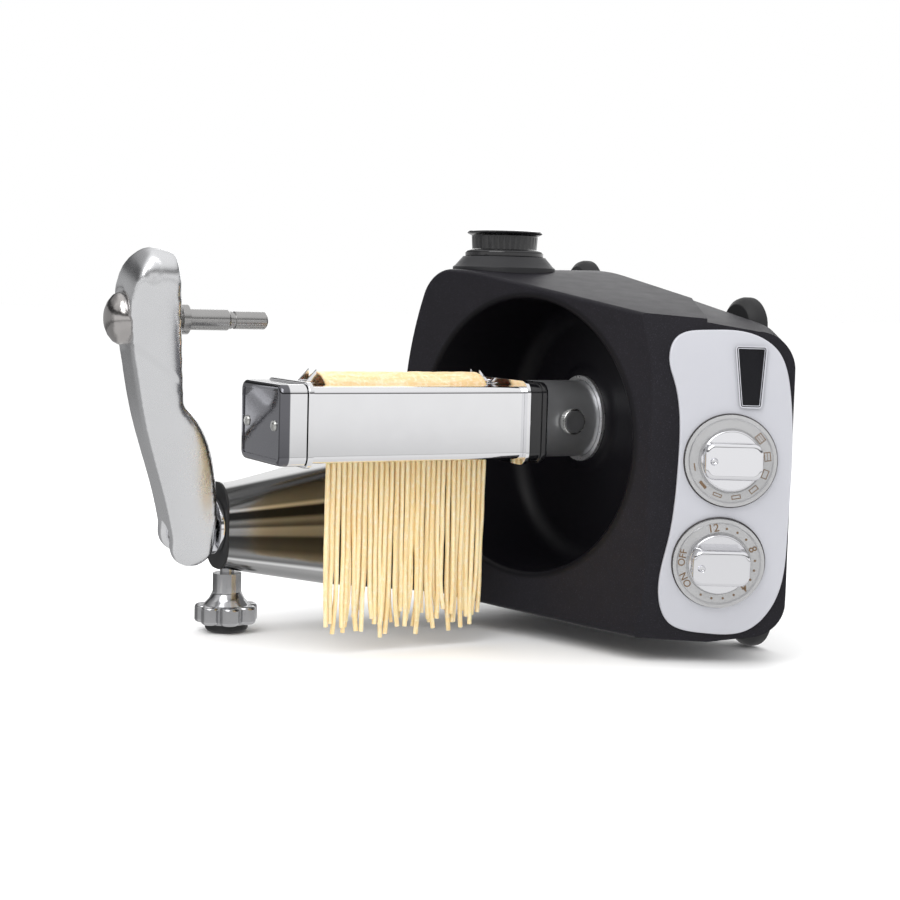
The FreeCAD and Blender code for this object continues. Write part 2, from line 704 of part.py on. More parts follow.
def drive_gear():
    """The large output gear."""
    gear = involute_gear(GEAR_MODULE, GEAR_TEETH, GEAR_WIDTH, SHAFT_R, GEAR_BACKLASH)
    rim = GEAR_MODULE * GEAR_TEETH / 2 - 7
    web = Part.makeCylinder(rim, 3, V(0, 0, GEAR_WIDTH - 3)).cut(
        Part.makeCylinder(13, 5, V(0, 0, GEAR_WIDTH - 4)))
    holes = []
    for i in range(6):
        a = math.pi * i / 3
        holes.append(Part.makeCylinder(6, 20, V(26 * math.cos(a), 26 * math.sin(a), -5)))
    gear = gear.cut(web).cut(Part.makeCompound(holes))
    tooth = V(0, math.sin(MOTOR_ANGLE), math.cos(MOTOR_ANGLE))
    return placed(gear, frame(V(GEAR_X, 0, 0), tooth, X_AXIS))


def motor_pinion():
    """The small gear on the motor's shaft, with a gap facing the large gear's tooth."""
    pinion = involute_gear(GEAR_MODULE, PINION_TEETH, GEAR_WIDTH, MOTOR_SHAFT_R, GEAR_BACKLASH)
    back = MOTOR_ANGLE + math.pi + math.pi / PINION_TEETH
    tooth = V(0, math.sin(back), math.cos(back))
    return placed(pinion, frame(V(GEAR_X, MOTOR_Y, MOTOR_Z), tooth, X_AXIS))


def motor_case():
    """The motor's can, open at both ends and slotted for air."""
    case = tube_x(MOTOR_X, MOTOR_X + MOTOR_LENGTH, MOTOR_Y, MOTOR_Z, MOTOR_R, MOTOR_R - 2)
    for i in range(6):
        a = math.pi * i / 3
        spoke = V(0, math.sin(a), math.cos(a))
        start = V(MOTOR_X + 6, MOTOR_Y, MOTOR_Z) + spoke * (MOTOR_R - 8)
        case = case.cut(rod(start, spoke, 4.0, 20))
    return case


def motor_end_plates():
    """The two end plates that hold the motor's bearings and fix it to the base plate."""
    plates = []
    bore = MOTOR_SHAFT_R + RUNNING_CLEARANCE
    for x in (MOTOR_X, MOTOR_X + MOTOR_LENGTH - 4):
        plate = rod_x(x, x + 4, MOTOR_Y, MOTOR_Z, MOTOR_R - 2)
        boss = rod_x(x, x + 4, MOTOR_Y, MOTOR_Z, 9.0)
        plate = plate.fuse(boss).cut(rod_x(x - 1, x + 9, MOTOR_Y, MOTOR_Z, bore))
        for i in range(4):
            a = math.pi * (i + 0.5) / 2
            y = MOTOR_Y + 20 * math.sin(a)
            z = MOTOR_Z + 20 * math.cos(a)
            plate = plate.cut(rod_x(x - 1, x + 5, y, z, 5.0))
        plates.append(plate)
    return Part.makeCompound(plates)


def motor_bracket():
    """Four posts between the motor and the base plate."""
    posts = []
    end = MOTOR_X + MOTOR_LENGTH
    for i in range(4):
        a = math.pi * i / 2
        y = MOTOR_Y + (MOTOR_R - 4) * math.sin(a)
        z = MOTOR_Z + (MOTOR_R - 4) * math.cos(a)
        posts.append(rod_x(end, BASE_PLATE_X, y, z, 3.5))
    return Part.makeCompound(posts)


def motor_stator():
    """The laminated field ring with its two coils."""
    x0 = MOTOR_X + 10
    x1 = MOTOR_X + 32
    ring = tube_x(x0, x1, MOTOR_Y, MOTOR_Z, MOTOR_R - 2, ROTOR_R + 5)
    poles = []
    for side in (-1, 1):
        pole = block(x0, x1, MOTOR_Y - 9, MOTOR_Y + 9, MOTOR_Z + side * 20 - 6, MOTOR_Z + side * 20 + 6)
        poles.append(pole.cut(rod_x(x0 - 1, x1 + 1, MOTOR_Y, MOTOR_Z, ROTOR_R + 0.5)))
    return fuse_all([ring] + poles)


def motor_rotor():
    """The rotor core with its slots, and the commutator behind it."""
    core = rod_x(MOTOR_X + 10, MOTOR_X + 32, MOTOR_Y, MOTOR_Z, ROTOR_R)
    for i in range(12):
        a = math.pi * i / 6
        y = MOTOR_Y + (ROTOR_R - 1) * math.sin(a)
        z = MOTOR_Z + (ROTOR_R - 1) * math.cos(a)
        core = core.cut(rod_x(MOTOR_X + 9, MOTOR_X + 33, y, z, 2.0))
    bore = rod_x(MOTOR_X - 20, MOTOR_X + 60, MOTOR_Y, MOTOR_Z, MOTOR_SHAFT_R)
    commutator = rod_x(MOTOR_X + 32, MOTOR_X + 40, MOTOR_Y, MOTOR_Z, 8.0)
    return core.fuse(commutator).cut(bore)


def motor_shaft():
    """The motor's shaft, carrying the pinion outside the front end plate."""
    return rod_x(GEAR_X - 1, MOTOR_X + MOTOR_LENGTH + 2, MOTOR_Y, MOTOR_Z, MOTOR_SHAFT_R)


def motor_brushes():
    """Two carbon brushes in line with the commutator."""
    brushes = []
    x = MOTOR_X + 33.5
    for side in (-1, 1):
        z0 = MOTOR_Z + side * 8.4
        z1 = MOTOR_Z + side * (MOTOR_R - 2.4)
        brushes.append(block(x, x + 5, MOTOR_Y - 3, MOTOR_Y + 3, min(z0, z1), max(z0, z1)))
    return Part.makeCompound(brushes)


# ---- outlet on the upper side ---------------------------------------------------------
def outlet_skirt():
    """The low cone around the accessory outlet."""
    inner = OUTLET_BORE_R
    profile = [
        (inner, -22), (OUTLET_SKIRT_R, -22), (OUTLET_SKIRT_R, 0), (OUTLET_SKIRT_R - 2, 1.6),
        (OUTLET_COLLAR_R + 1.5, OUTLET_SKIRT), (inner, OUTLET_SKIRT),
    ]
    skirt = revolved(profile, V(OUTLET_X, OUTLET_Y, HOUSING_TOP_Z))
    return skirt.cut(housing_body(0, BASE_X))


def outlet_collar():
    """The collar that the cap sits on."""
    profile = [
        (OUTLET_BORE_R, 0), (OUTLET_COLLAR_R, 0), (OUTLET_COLLAR_R, OUTLET_COLLAR - 1.5),
        (OUTLET_COLLAR_R - 1.5, OUTLET_COLLAR), (OUTLET_BORE_R, OUTLET_COLLAR),
    ]
    return revolved(profile, V(OUTLET_X, OUTLET_Y, HOUSING_TOP_Z + OUTLET_SKIRT))


def outlet_cap():
    """A lift-off cap with a flared rim, a ribbed neck and a plug in the outlet."""
    rise = OUTLET_CAP
    profile = [
        (0, 0), (OUTLET_CAP_R, 0), (OUTLET_CAP_R + 0.6, rise - 5), (OUTLET_CAP_RIM_R, rise - 3.6),
        (OUTLET_CAP_RIM_R + 0.5, rise - 2.6), (OUTLET_CAP_RIM_R, rise - 1.8),
        (OUTLET_CAP_R - 4, rise - 0.5), (OUTLET_CAP_R / 2, rise), (0, rise + 0.3),
    ]
    base = V(OUTLET_X, OUTLET_Y, HOUSING_TOP_Z + OUTLET_SKIRT + OUTLET_COLLAR + LOOSE_CLEARANCE)
    cap = revolved(profile, base)
    grooves = []
    for i in range(36):
        a = 2 * math.pi * i / 36
        spot = base + V(math.cos(a), math.sin(a), 0) * (OUTLET_CAP_R + 1.0) - Z_AXIS
        grooves.append(rod(spot, Z_AXIS, 1.1, rise - 5))
    plug = rod(base - Z_AXIS * OUTLET_PLUG, Z_AXIS, OUTLET_BORE_R - 0.5, OUTLET_PLUG + 1)
    return cap.cut(Part.makeCompound(grooves)).fuse(plug)


def cord_gland():
    """The strain relief where a supply cord would enter, through the rear wall."""
    start = V(BASE_X - 25, BASE_REAR_Y - 14, -100)
    profile = [(2.8, -8), (5.9, -8), (5.9, 9), (10, 9), (10, 13), (7, 14), (5, 34), (2.8, 34)]
    return revolved(profile, start, Y_AXIS)


# ---- column and arm -------------------------------------------------------------------
def column_section(x, size, grow=0.0):
    """The column's rounded outline at a station along X."""
    rise = COLUMN_FOOT_RISE if size is COLUMN_FOOT_SIZE else 0
    centre = V(x, COLUMN_Y, COLUMN_Z + rise)
    return rounded_rectangle(
        centre, Y_AXIS, Z_AXIS, size[0] + grow, size[1] + grow, COLUMN_CORNER_R + grow / 2)


def arm_pedestal():
    """The dark casting that rises from the housing's rear corner and carries the column."""
    rear = COLUMN_Y + COLUMN_FOOT_SIZE[0] / 2 + 4
    low = HOUSING_BOTTOM_Z + 3
    corners = [V(-20, rear - 84, low), V(-20, rear, low), V(-20, rear, -30), V(-20, rear - 84, -30)]
    root = rounded_wire(corners, [18, 44, 18, 18])
    top = column_section(COLUMN_FOOT_X + GASKET, COLUMN_FOOT_SIZE)
    solid = Part.makeLoft([root, top], True)
    scoop = rod_x(-170, 20, 0, 0, WELL_MOUTH_R - 12)
    body = housing_body(0, BASE_X)
    solid = solid.cut(scoop).cut(body).cut(well_void())
    solid = max(solid.Solids, key=lambda one: one.Volume)
    return solid.cut(rod_x(COLUMN_FOOT_X, COLUMN_FOOT_X + 25, COLUMN_Y, COLUMN_Z, POST_R))


def column_sleeve():
    """The tapered chrome column around its steel post."""
    foot = column_section(COLUMN_FOOT_X, COLUMN_FOOT_SIZE)
    head = column_section(COLUMN_HEAD_X, COLUMN_HEAD_SIZE)
    sleeve = Part.makeLoft([foot, head], True)
    sleeve = sleeve.cut(rod_x(COLUMN_HEAD_X - 1, COLUMN_FOOT_X + 1, COLUMN_Y, COLUMN_Z, POST_R))
    stem = rod(V(STAR_KNOB_X, COLUMN_Y, COLUMN_Z - POST_R - 30), Z_AXIS, 5.0 + LOOSE_CLEARANCE, 36)
    return sleeve.cut(stem)


def column_gaskets():
    """Thin black gaskets at both ends of the chrome column."""
    foot = prism(column_section(COLUMN_FOOT_X, COLUMN_FOOT_SIZE, 1.2), V(GASKET, 0, 0))
    head = prism(column_section(COLUMN_HEAD_X - GASKET, COLUMN_HEAD_SIZE, 1.2), V(GASKET, 0, 0))
    bore = rod_x(COLUMN_HEAD_X - 5, COLUMN_FOOT_X + 5, COLUMN_Y, COLUMN_Z, POST_R)
    return Part.makeCompound([foot.cut(bore), head.cut(bore)])


def column_post():
    """The hollow steel post inside the column, on which the arm's hinge block turns."""
    post = rod_x(COLUMN_HEAD_X - GASKET, COLUMN_FOOT_X + 24, COLUMN_Y, COLUMN_Z, POST_R)
    bore = rod_x(COLUMN_HEAD_X - 5, COLUMN_HEAD_X + 40, COLUMN_Y, COLUMN_Z, 8.0 + RUNNING_CLEARANCE)
    thread = rod(V(STAR_KNOB_X, COLUMN_Y, COLUMN_Z - POST_R - 1), Z_AXIS, 5.0 + LOOSE_CLEARANCE, 14)
    return post.cut(bore).cut(thread)


def hinge_block():
    """The swivelling block: a spigot in the post, a plate, and a tongue for the arm."""
    plate_x = COLUMN_HEAD_X - GASKET - LOOSE_CLEARANCE
    spigot = rod_x(plate_x - 3, COLUMN_HEAD_X + 38, COLUMN_Y, COLUMN_Z, 8.0)
    plate = rod_x(plate_x - 3, plate_x, COLUMN_Y, COLUMN_Z, 20.0)
    pivot = arm_point(ARM_PIVOT_X, ARM_PIVOT_W, -ARM_FORK_GAP / 2 + LOOSE_CLEARANCE)
    width = ARM_FORK_GAP - 2 * LOOSE_CLEARANCE
    eye = rod(pivot, ARM_OUT, 12.0, width)
    wire = rounded_rectangle(
        pivot + X_AXIS * ((plate_x - 2 - ARM_PIVOT_X) / 2), X_AXIS, ARM_UP,
        plate_x - 2 - ARM_PIVOT_X, 17.0, 0)
    bar = prism(wire, ARM_OUT * width)
    whole = fuse_all([plate, spigot, eye, bar])
    lip = rod_x(COLUMN_HEAD_X - GASKET, COLUMN_HEAD_X + 60, COLUMN_Y, COLUMN_Z, 40)
    lip = lip.cut(rod_x(COLUMN_HEAD_X - 10, COLUMN_HEAD_X + 60, COLUMN_Y, COLUMN_Z, 8.0))
    bore = rod(arm_point(ARM_PIVOT_X, ARM_PIVOT_W, -30), ARM_OUT, HINGE_PIN_R, 60)
    return whole.cut(lip).cut(bore)


def hinge_pin():
    """The pin through the fork and the tongue, hidden behind the arm's skin."""
    reach = ARM_THICKNESS / 2 - 4
    return rod(arm_point(ARM_PIVOT_X, ARM_PIVOT_W, -reach), ARM_OUT, HINGE_PIN_R, 2 * reach)


def arm_profile():
    """The arm's outline seen from the front: straight inner face, swelling root, round heel."""
    outer = [(-309, ARM_LENGTH), (-325, ARM_LENGTH - 30), (-318, 126), (-307, 84), (-289, 34)]
    heel = [(ARM_PIVOT_X - ARM_PIVOT_R, ARM_PIVOT_W + 4)]
    inner = [(-246.0, 14), (-251, 42), (-262, 74), (-280, 96), (-284, 124), (-293, ARM_LENGTH - 1)]
    left = Part.BSplineCurve()
    left.interpolate([arm_point(x, w) for x, w in outer + heel])
    right = Part.BSplineCurve()
    right.interpolate([arm_point(x, w) for x, w in inner[:-2]])
    bottom = Part.Arc(
        arm_point(*heel[0]),
        arm_point(ARM_PIVOT_X, ARM_PIVOT_W - ARM_PIVOT_R),
        arm_point(ARM_PIVOT_X + ARM_PIVOT_R, ARM_PIVOT_W),
    )
    edges = [
        left.toShape(),
        bottom.toShape(),
        Part.makeLine(arm_point(ARM_PIVOT_X + ARM_PIVOT_R, ARM_PIVOT_W), arm_point(*inner[0])),
        right.toShape(),
        Part.makeLine(arm_point(*inner[-3]), arm_point(*inner[-2])),
        Part.makeLine(arm_point(*inner[-2]), arm_point(*inner[-1])),
        Part.makeLine(arm_point(*inner[-1]), arm_point(*outer[0])),
    ]
    return Part.Wire(edges)


def arm_front_outline():
    """The arm's outline seen along X: a long bar with a round top, slightly waisted."""
    half = ARM_THICKNESS / 2
    low = ARM_PIVOT_W - ARM_PIVOT_R - 2

    def spot(out, w):
        """A point of the plate, by its distance outwards and up the arm."""
        return arm_point(-400, w, out)

    top = ARM_LENGTH - half
    sides = [(-half + 2, low), (half - 2, low), (half, 60), (half - 1, top)]
    right = Part.BSplineCurve()
    right.interpolate([spot(*p) for p in sides[1:]])
    left = Part.BSplineCurve()
    left.interpolate([spot(-half + 1, top), spot(-half, 60), spot(-half + 2, low)])
    cap = Part.Arc(spot(half - 1, top), spot(0, ARM_LENGTH + 0.5), spot(-half + 1, top))
    bottom = Part.makeLine(spot(*sides[0]), spot(*sides[1]))
    return Part.Wire([bottom, right.toShape(), cap.toShape(), left.toShape()])


def arm():
    """The cast arm: forked at the hinge, bored for the axle pin and the dome knob."""
    blank = Part.Face(arm_profile())
    blank.translate(ARM_OUT * (-ARM_THICKNESS))
    blank = blank.extrude(ARM_OUT * (2 * ARM_THICKNESS))
    blank = blank.common(prism(arm_front_outline(), X_AXIS * 300))
    fork = rod(arm_point(ARM_PIVOT_X, ARM_PIVOT_W, -ARM_FORK_GAP / 2), ARM_OUT,
               ARM_PIVOT_R + 3.0, ARM_FORK_GAP)
    blank = blank.cut(fork)
    bore = rod(arm_point(ARM_PIVOT_X, ARM_PIVOT_W, -30), ARM_OUT,
               HINGE_PIN_R + RUNNING_CLEARANCE, 30 + ARM_THICKNESS / 2 - 3)
    axle = rod(arm_point(-400, PIN_W), X_AXIS, AXLE_PIN_R, 200)
    recess = rod(arm_point(-400, PIN_W), X_AXIS, DOME_KNOB_R + 1.0, 400 + DOME_KNOB_X)
    return blank.cut(bore).cut(axle).cut(recess)


def axle_pin():
    """The fixed steel axle with its collar, groove and chamfered tip."""
    length = AXLE_PIN_TIP_X + 312
    r = AXLE_PIN_R
    profile = [
        (0, 0), (r, 0), (r, 28), (AXLE_COLLAR_R, 28), (AXLE_COLLAR_R, 33), (r + 1, 33),
        (r + 1, length - 28), (r, length - 27), (r, length - 25), (r - 1, length - 25),
        (r - 1, length - 23), (r, length - 23), (r, length - 1.5), (r - 1.5, length), (0, length),
    ]
    pin = revolved(profile, arm_point(-312, PIN_W), X_AXIS)
    return pin.cut(rod(arm_point(-313, PIN_W), X_AXIS, 4.0 + RUNNING_CLEARANCE, 9))


def dome_knob():
    """The domed knob in its recess on the arm's outer face."""
    r = DOME_KNOB_R
    profile = [
        (0, -14), (4, -14), (4, 0), (r, 0), (r, 6), (r - 1.5, 9), (r - 5, 12), (r - 9, 14), (0, 15.5),
    ]
    return revolved(profile, arm_point(DOME_KNOB_X - LOOSE_CLEARANCE, PIN_W), V(-1, 0, 0))


def star_knob():
    """The lobed locking knob under the column's end, with a tapered stem and a screw."""
    low = GROUND_Z + 6
    flange = []
    for i in range(STAR_LOBES):
        a = 2 * math.pi * i / STAR_LOBES
        reach = STAR_KNOB_R - STAR_LOBE_R
        spot = V(STAR_KNOB_X + reach * math.cos(a), COLUMN_Y + reach * math.sin(a), low)
        lobe = Part.makeCylinder(STAR_LOBE_R, 13, spot)
        flange.append(lobe.makeFillet(2.5, [e for e in lobe.Edges if len(e.Vertexes) == 1]))
    core = Part.makeCylinder(17.0, 13, V(STAR_KNOB_X, COLUMN_Y, low))
    rise = COLUMN_Z - COLUMN_HEAD_SIZE[1] / 2 - low - 4
    profile = [(0, 5), (17, 5), (16, 13), (12.5, 17), (STAR_STEM_R, 22), (STAR_STEM_R, rise), (0, rise)]
    stem = revolved(profile, V(STAR_KNOB_X, COLUMN_Y, low))
    screw = Part.makeCylinder(5.0, COLUMN_Z - 9 - low - 10, V(STAR_KNOB_X, COLUMN_Y, low + 10))
    return fuse_all([core, stem, screw] + flange)


def star_knob_foot():
    """The rubber pad under the star knob, which stands on the ground."""
    profile = [(0, 0), (13, 0), (15, 2), (15, 6), (0, 6)]
    return revolved(profile, V(STAR_KNOB_X, COLUMN_Y, GROUND_Z))


# ---- pasta cutter ---------------------------------------------------------------------
def cutter_outline(x, grow=0.0):
    """The cutter's rounded outline at a station along X."""
    centre = V(x, (CUTTER_FRONT_Y + CUTTER_REAR_Y) / 2, (CUTTER_TOP_Z + CUTTER_BOTTOM_Z) / 2)
    depth = CUTTER_REAR_Y - CUTTER_FRONT_Y + 2 * grow
    height = CUTTER_TOP_Z - CUTTER_BOTTOM_Z + 2 * grow
    return rounded_rectangle(centre, Y_AXIS, Z_AXIS, depth, height, CUTTER_CORNER_R + grow)


def cutter_cover(front):
    """A bent sheet cover: the front or the rear half, with the slot left open between."""
    outer = prism(cutter_outline(CUTTER_LEFT_X), V(CUTTER_RIGHT_X - CUTTER_LEFT_X, 0, 0))
    inner = prism(cutter_outline(CUTTER_LEFT_X - 1, -SHEET), V(CUTTER_RIGHT_X - CUTTER_LEFT_X + 2, 0, 0))
    shell = outer.cut(inner)
    if front:
        return shell.common(block(-400, 0, -100, SLOT_FRONT_Y, -100, 100))
    return shell.common(block(-400, 0, SLOT_REAR_Y, 100, -100, 100))


def cutter_end_plates():
    """The two steel plates that carry the rollers' journals."""
    plates = []
    for x in (CUTTER_LEFT_X + 1, CUTTER_RIGHT_X - 1 - END_PLATE):
        plate = prism(cutter_outline(x, -SHEET - LOOSE_CLEARANCE), V(END_PLATE, 0, 0))
        for y in (0, IDLE_Y):
            plate = plate.cut(rod_x(x - 1, x + 5, y, 0, ROLLER_JOURNAL_R + RUNNING_CLEARANCE))
        for y, z in tie_rod_places():
            plate = plate.cut(rod_x(x - 1, x + 5, y, z, 2.5))
        plates.append(plate)
    return Part.makeCompound(plates)


def tie_rod_places():
    """Where the tie rods cross the end plates."""
    return [(-38.5, 13), (-38.5, -10), (15, 16), (15, -10)]


def tie_rods():
    """Four rods that hold the end plates apart, with a nut at each end."""
    rods = []
    for y, z in tie_rod_places():
        rods.append(rod_x(CUTTER_LEFT_X + 1, CUTTER_RIGHT_X - 1, y, z, 2.5))
    return Part.makeCompound(rods)


def cutter_roller(driven):
    """A grooved roller: a core with one disc for every second strand, and its journals."""
    y = 0 if driven else IDLE_Y
    x0 = ROLLER_MID_X - ROLLER_LENGTH / 2
    core = rod_x(x0 - 1.4, x0 + ROLLER_LENGTH + 1.4, y, 0, GROOVE_R)
    shift = 0 if driven else STRAND_PITCH / 2
    discs = []
    for i in range(STRANDS):
        x = x0 + shift + i * STRAND_PITCH
        discs.append(rod_x(x, x + DISC_WIDTH, y, 0, ROLLER_R))
    journal_end = CUTTER_RIGHT_X - 1 if driven else CUTTER_RIGHT_X - 1.4
    journal = rod_x(CUTTER_LEFT_X + 1, journal_end, y, 0, ROLLER_JOURNAL_R)
    return core.multiFuse(discs + [journal])


def gear_station():
    """Where the cutter's gears start, inside the right end plate."""
    return CUTTER_RIGHT_X - 1 - END_PLATE - 0.6 - ROLLER_GEAR_WIDTH


def roller_gear(driven):
    """One of the two equal gears that turn the rollers against each other."""
    gear = involute_gear(
        ROLLER_GEAR_MODULE, ROLLER_GEAR_TEETH, ROLLER_GEAR_WIDTH, ROLLER_JOURNAL_R, 0.25)
    turn = 0 if driven else math.pi / ROLLER_GEAR_TEETH
    tooth = V(0, -math.cos(turn), math.sin(turn)) if driven else V(0, math.cos(turn), math.sin(turn))
    y = 0 if driven else IDLE_Y
    return placed(gear, frame(V(gear_station(), y, 0), tooth, X_AXIS))


def coupling_shaft():
    """The shaft from the drive nose to the driven roller, with a hexagonal socket."""
    socket = Part.makePolygon(
        [V(-17, 5.5 * math.cos(a), 5.5 * math.sin(a)) for a in [math.pi * i / 3 for i in range(7)]]
    )
    shaft = rod_x(CUTTER_RIGHT_X - 1, -20, 0, 0, ROLLER_JOURNAL_R + 2)
    cup = rod_x(-24, -5.5, 0, 0, 9.0)
    return shaft.fuse(cup).cut(prism(socket, V(14, 0, 0)))


def comb(front):
    """A scraper comb that keeps the strands out of the roller's grooves."""
    y = IDLE_Y if front else 0
    side = -1 if front else 1
    near = y + side * 2
    far = y + side * 17
    x0 = CUTTER_LEFT_X + 2 + END_PLATE
    x1 = CUTTER_RIGHT_X - 2 - END_PLATE
    return block(x0, x1, min(near, far), max(near, far), -18, -16.5)


def left_end_cap():
    """The deep chrome cap that closes the free end."""
    inner_x = CUTTER_LEFT_X - FLANGE
    outer = prism(cutter_outline(inner_x - END_CAP_DEPTH, 1.5), V(END_CAP_DEPTH, 0, 0))
    face = edges_where(outer, lambda m, e: m.x < inner_x - END_CAP_DEPTH + 0.1)
    outer = outer.makeFillet(3.0, face)
    hollow = prism(cutter_outline(inner_x - END_CAP_DEPTH + 2, -1.0), V(END_CAP_DEPTH, 0, 0))
    panel = prism(cutter_outline(inner_x - END_CAP_DEPTH - 1, -3.0), V(1.8, 0, 0))
    for y in CAP_SCREW_YS:
        outer = outer.cut(rod_x(inner_x - END_CAP_DEPTH - 1, inner_x, y, 0, CAP_SCREW_R))
    return outer.cut(hollow).cut(panel)


def flange(x, lip):
    """A thin rounded plate between a cap and the covers."""
    return prism(cutter_outline(x, lip), V(FLANGE - 1.5, 0, 0))


def left_flange():
    """The flange between the covers and the deep cap."""
    plate = flange(CUTTER_LEFT_X - FLANGE + 0.7, FLANGE_LIP - 1)
    edge = edges_where(plate, lambda m, e: m.x < CUTTER_LEFT_X - FLANGE + 0.8)
    return plate.makeFillet(1.0, edge)


def right_flange():
    """The bright flange at the drive end, bored for the coupling shaft."""
    plate = flange(CUTTER_RIGHT_X, FLANGE_LIP)
    plate = plate.makeFillet(1.0, edges_where(plate, lambda m, e: m.x > CUTTER_RIGHT_X + FLANGE - 1.6))
    return plate.cut(rod_x(CUTTER_RIGHT_X - 1, 0, 0, 0, ROLLER_JOURNAL_R + 2.5))


def right_end_cap():
    """The shallow dark cap between the bright flange and the hub."""
    x = CUTTER_RIGHT_X + FLANGE - 1.5
    cap = prism(cutter_outline(x, 1.5), V(9, 0, 0))
    rim = prism(cutter_outline(x + 9, 3.0), V(5, 0, 0))
    rim = rim.makeFillet(2.0, edges_where(rim, lambda m, e: m.x > x + 13.9))
    bore = rod_x(x - 1, 0, 0, 0, ROLLER_JOURNAL_R + 2.5)
    return cap.fuse(rim).cut(bore)


def attachment_hub():
    """The satin cylinder that plugs onto the machine's hub and carries the cutter."""
    x0 = CUTTER_RIGHT_X + FLANGE - 1.5 + 14
    hub = tube_x(x0, BOSS_TOP_X, 0, 0, HUB_R, HUB_R - 5)
    wall = tube_x(x0, x0 + 5, 0, 0, HUB_R - 4, ROLLER_JOURNAL_R + 2.5)
    thread = rod(V((x0 + BOSS_TOP_X) / 2 + 2, 0, 0), V(0, -1, 0), 3.0 + LOOSE_CLEARANCE, 40)
    return hub.fuse(wall).cut(thread)


def thumb_screw():
    """The knurled screw that locks the hub."""
    x0 = CUTTER_RIGHT_X + FLANGE - 1.5 + 14
    start = V((x0 + BOSS_TOP_X) / 2 + 2, 0, 0)
    profile = [
        (0, HUB_R - 9), (3, HUB_R - 9), (3, HUB_R + 1.2), (9, HUB_R + 1.2), (9, HUB_R + 5.4),
        (8.4, HUB_R + 6), (7, HUB_R + 6), (6.6, HUB_R + 5.4), (0, HUB_R + 5.4),
    ]
    screw = revolved(profile, start, V(0, -1, 0))
    nicks = []
    for i in range(30):
        a = 2 * math.pi * i / 30
        spot = start + V(9.2 * math.cos(a), -HUB_R - 1, 9.2 * math.sin(a))
        nicks.append(rod(spot, V(0, -1, 0), 0.45, 6))
    return screw.cut(Part.makeCompound(nicks))


def cap_screws():
    """Two small domed screws in the deep cap's face."""
    screws = []
    x = CUTTER_LEFT_X - FLANGE - END_CAP_DEPTH + 0.8
    for y in CAP_SCREW_YS:
        head = revolved([(0, 0), (3.6, 0), (3.2, 1.2), (1.5, 2.0), (0, 2.1)], V(x, y, 0), V(-1, 0, 0))
        shank = rod_x(x - 0.1, x + 8, y, 0, CAP_SCREW_R)
        screws.append(head.fuse(shank))
    return Part.makeCompound(screws)


def sheet_guides():
    """Two bent wings on the covers that keep the sheet of dough straight."""
    guides = []
    for x, side in ((ROLLER_MID_X - DOUGH_WIDTH / 2 - 3, -1), (ROLLER_MID_X + DOUGH_WIDTH / 2 + 3, 1)):
        top = CUTTER_TOP_Z
        foot = block(x - 4, x + 4, SLOT_REAR_Y + 1, CUTTER_REAR_Y - 4, top, top + GUIDE_THICKNESS)
        corners = [V(x - side * 2, 0, top + 0.5), V(x + side * 6, 0, top + 0.5),
                   V(x - side * 2, 0, top + 9.0)]
        wing = prism(Part.makePolygon(corners + corners[:1]), V(0, GUIDE_THICKNESS, 0))
        wings = []
        for y in (SLOT_REAR_Y + 1, CUTTER_REAR_Y - 4 - GUIDE_THICKNESS):
            wings.append(wing.translated(V(0, y, 0)))
        guides.append(fuse_all([foot] + wings))
    return Part.makeCompound(guides)


def dough_sheet():
    """The sheet of dough: from between the rollers, up through the slot, over the rear cover."""
    half = DOUGH_THICKNESS / 2
    top = CUTTER_TOP_Z
    back = CUTTER_REAR_Y + 4
    outer = [V(0, NIP_Y - half, 13), V(0, NIP_Y - half, top - 3), V(0, NIP_Y + 9, top + 6),
             V(0, NIP_Y + 24, top + 6.5), V(0, back + half, top - 1), V(0, back + half, top - 22)]
    inner = [V(0, back - half, top - 22), V(0, back - half, top - 1), V(0, NIP_Y + 23, top + 4.4),
             V(0, NIP_Y + 10, top + 3.8), V(0, NIP_Y + half, top - 4), V(0, NIP_Y + half, 13)]
    upper = Part.BSplineCurve()
    upper.interpolate(outer[1:5])
    lower = Part.BSplineCurve()
    lower.interpolate(inner[1:5])
    wire = Part.Wire([
        Part.makeLine(outer[0], outer[1]), upper.toShape(), Part.makeLine(outer[4], outer[5]),
        Part.makeLine(outer[5], inner[0]), Part.makeLine(inner[0], inner[1]), lower.toShape(),
        Part.makeLine(inner[4], inner[5]), Part.makeLine(inner[5], outer[0]),
    ])
    sheet = prism(wire, V(DOUGH_WIDTH, 0, 0))
    return sheet.translated(V(ROLLER_MID_X - DOUGH_WIDTH / 2, 0, 0))


def pasta_strands():
    """The cut strands that hang from the rollers, uneven at their ends."""
    strands = []
    x0 = ROLLER_MID_X - ROLLER_LENGTH / 2
    for i in range(STRANDS):
        x = x0 + (i + 0.5) * STRAND_PITCH
        uneven = 7.0 * math.sin(i * 2.4) + 4.0 * math.sin(i * 0.9 + 1)
        drop = STRAND_DROP - 12 + uneven
        bow = 2.0 * math.sin(i * 1.7)
        z0 = -15.0
        z1 = CUTTER_BOTTOM_Z - drop + 9
        half = STRAND_WIDTH / 2
        y0 = NIP_Y - half
        y1 = NIP_Y + bow - half
        corners = [V(x - half, y0, z0), V(x + half, y0, z0), V(x + half, y1, z1), V(x - half, y1, z1)]
        strands.append(prism(Part.makePolygon(corners + corners[:1]), V(0, STRAND_WIDTH, 0)))
    return Part.makeCompound(strands)


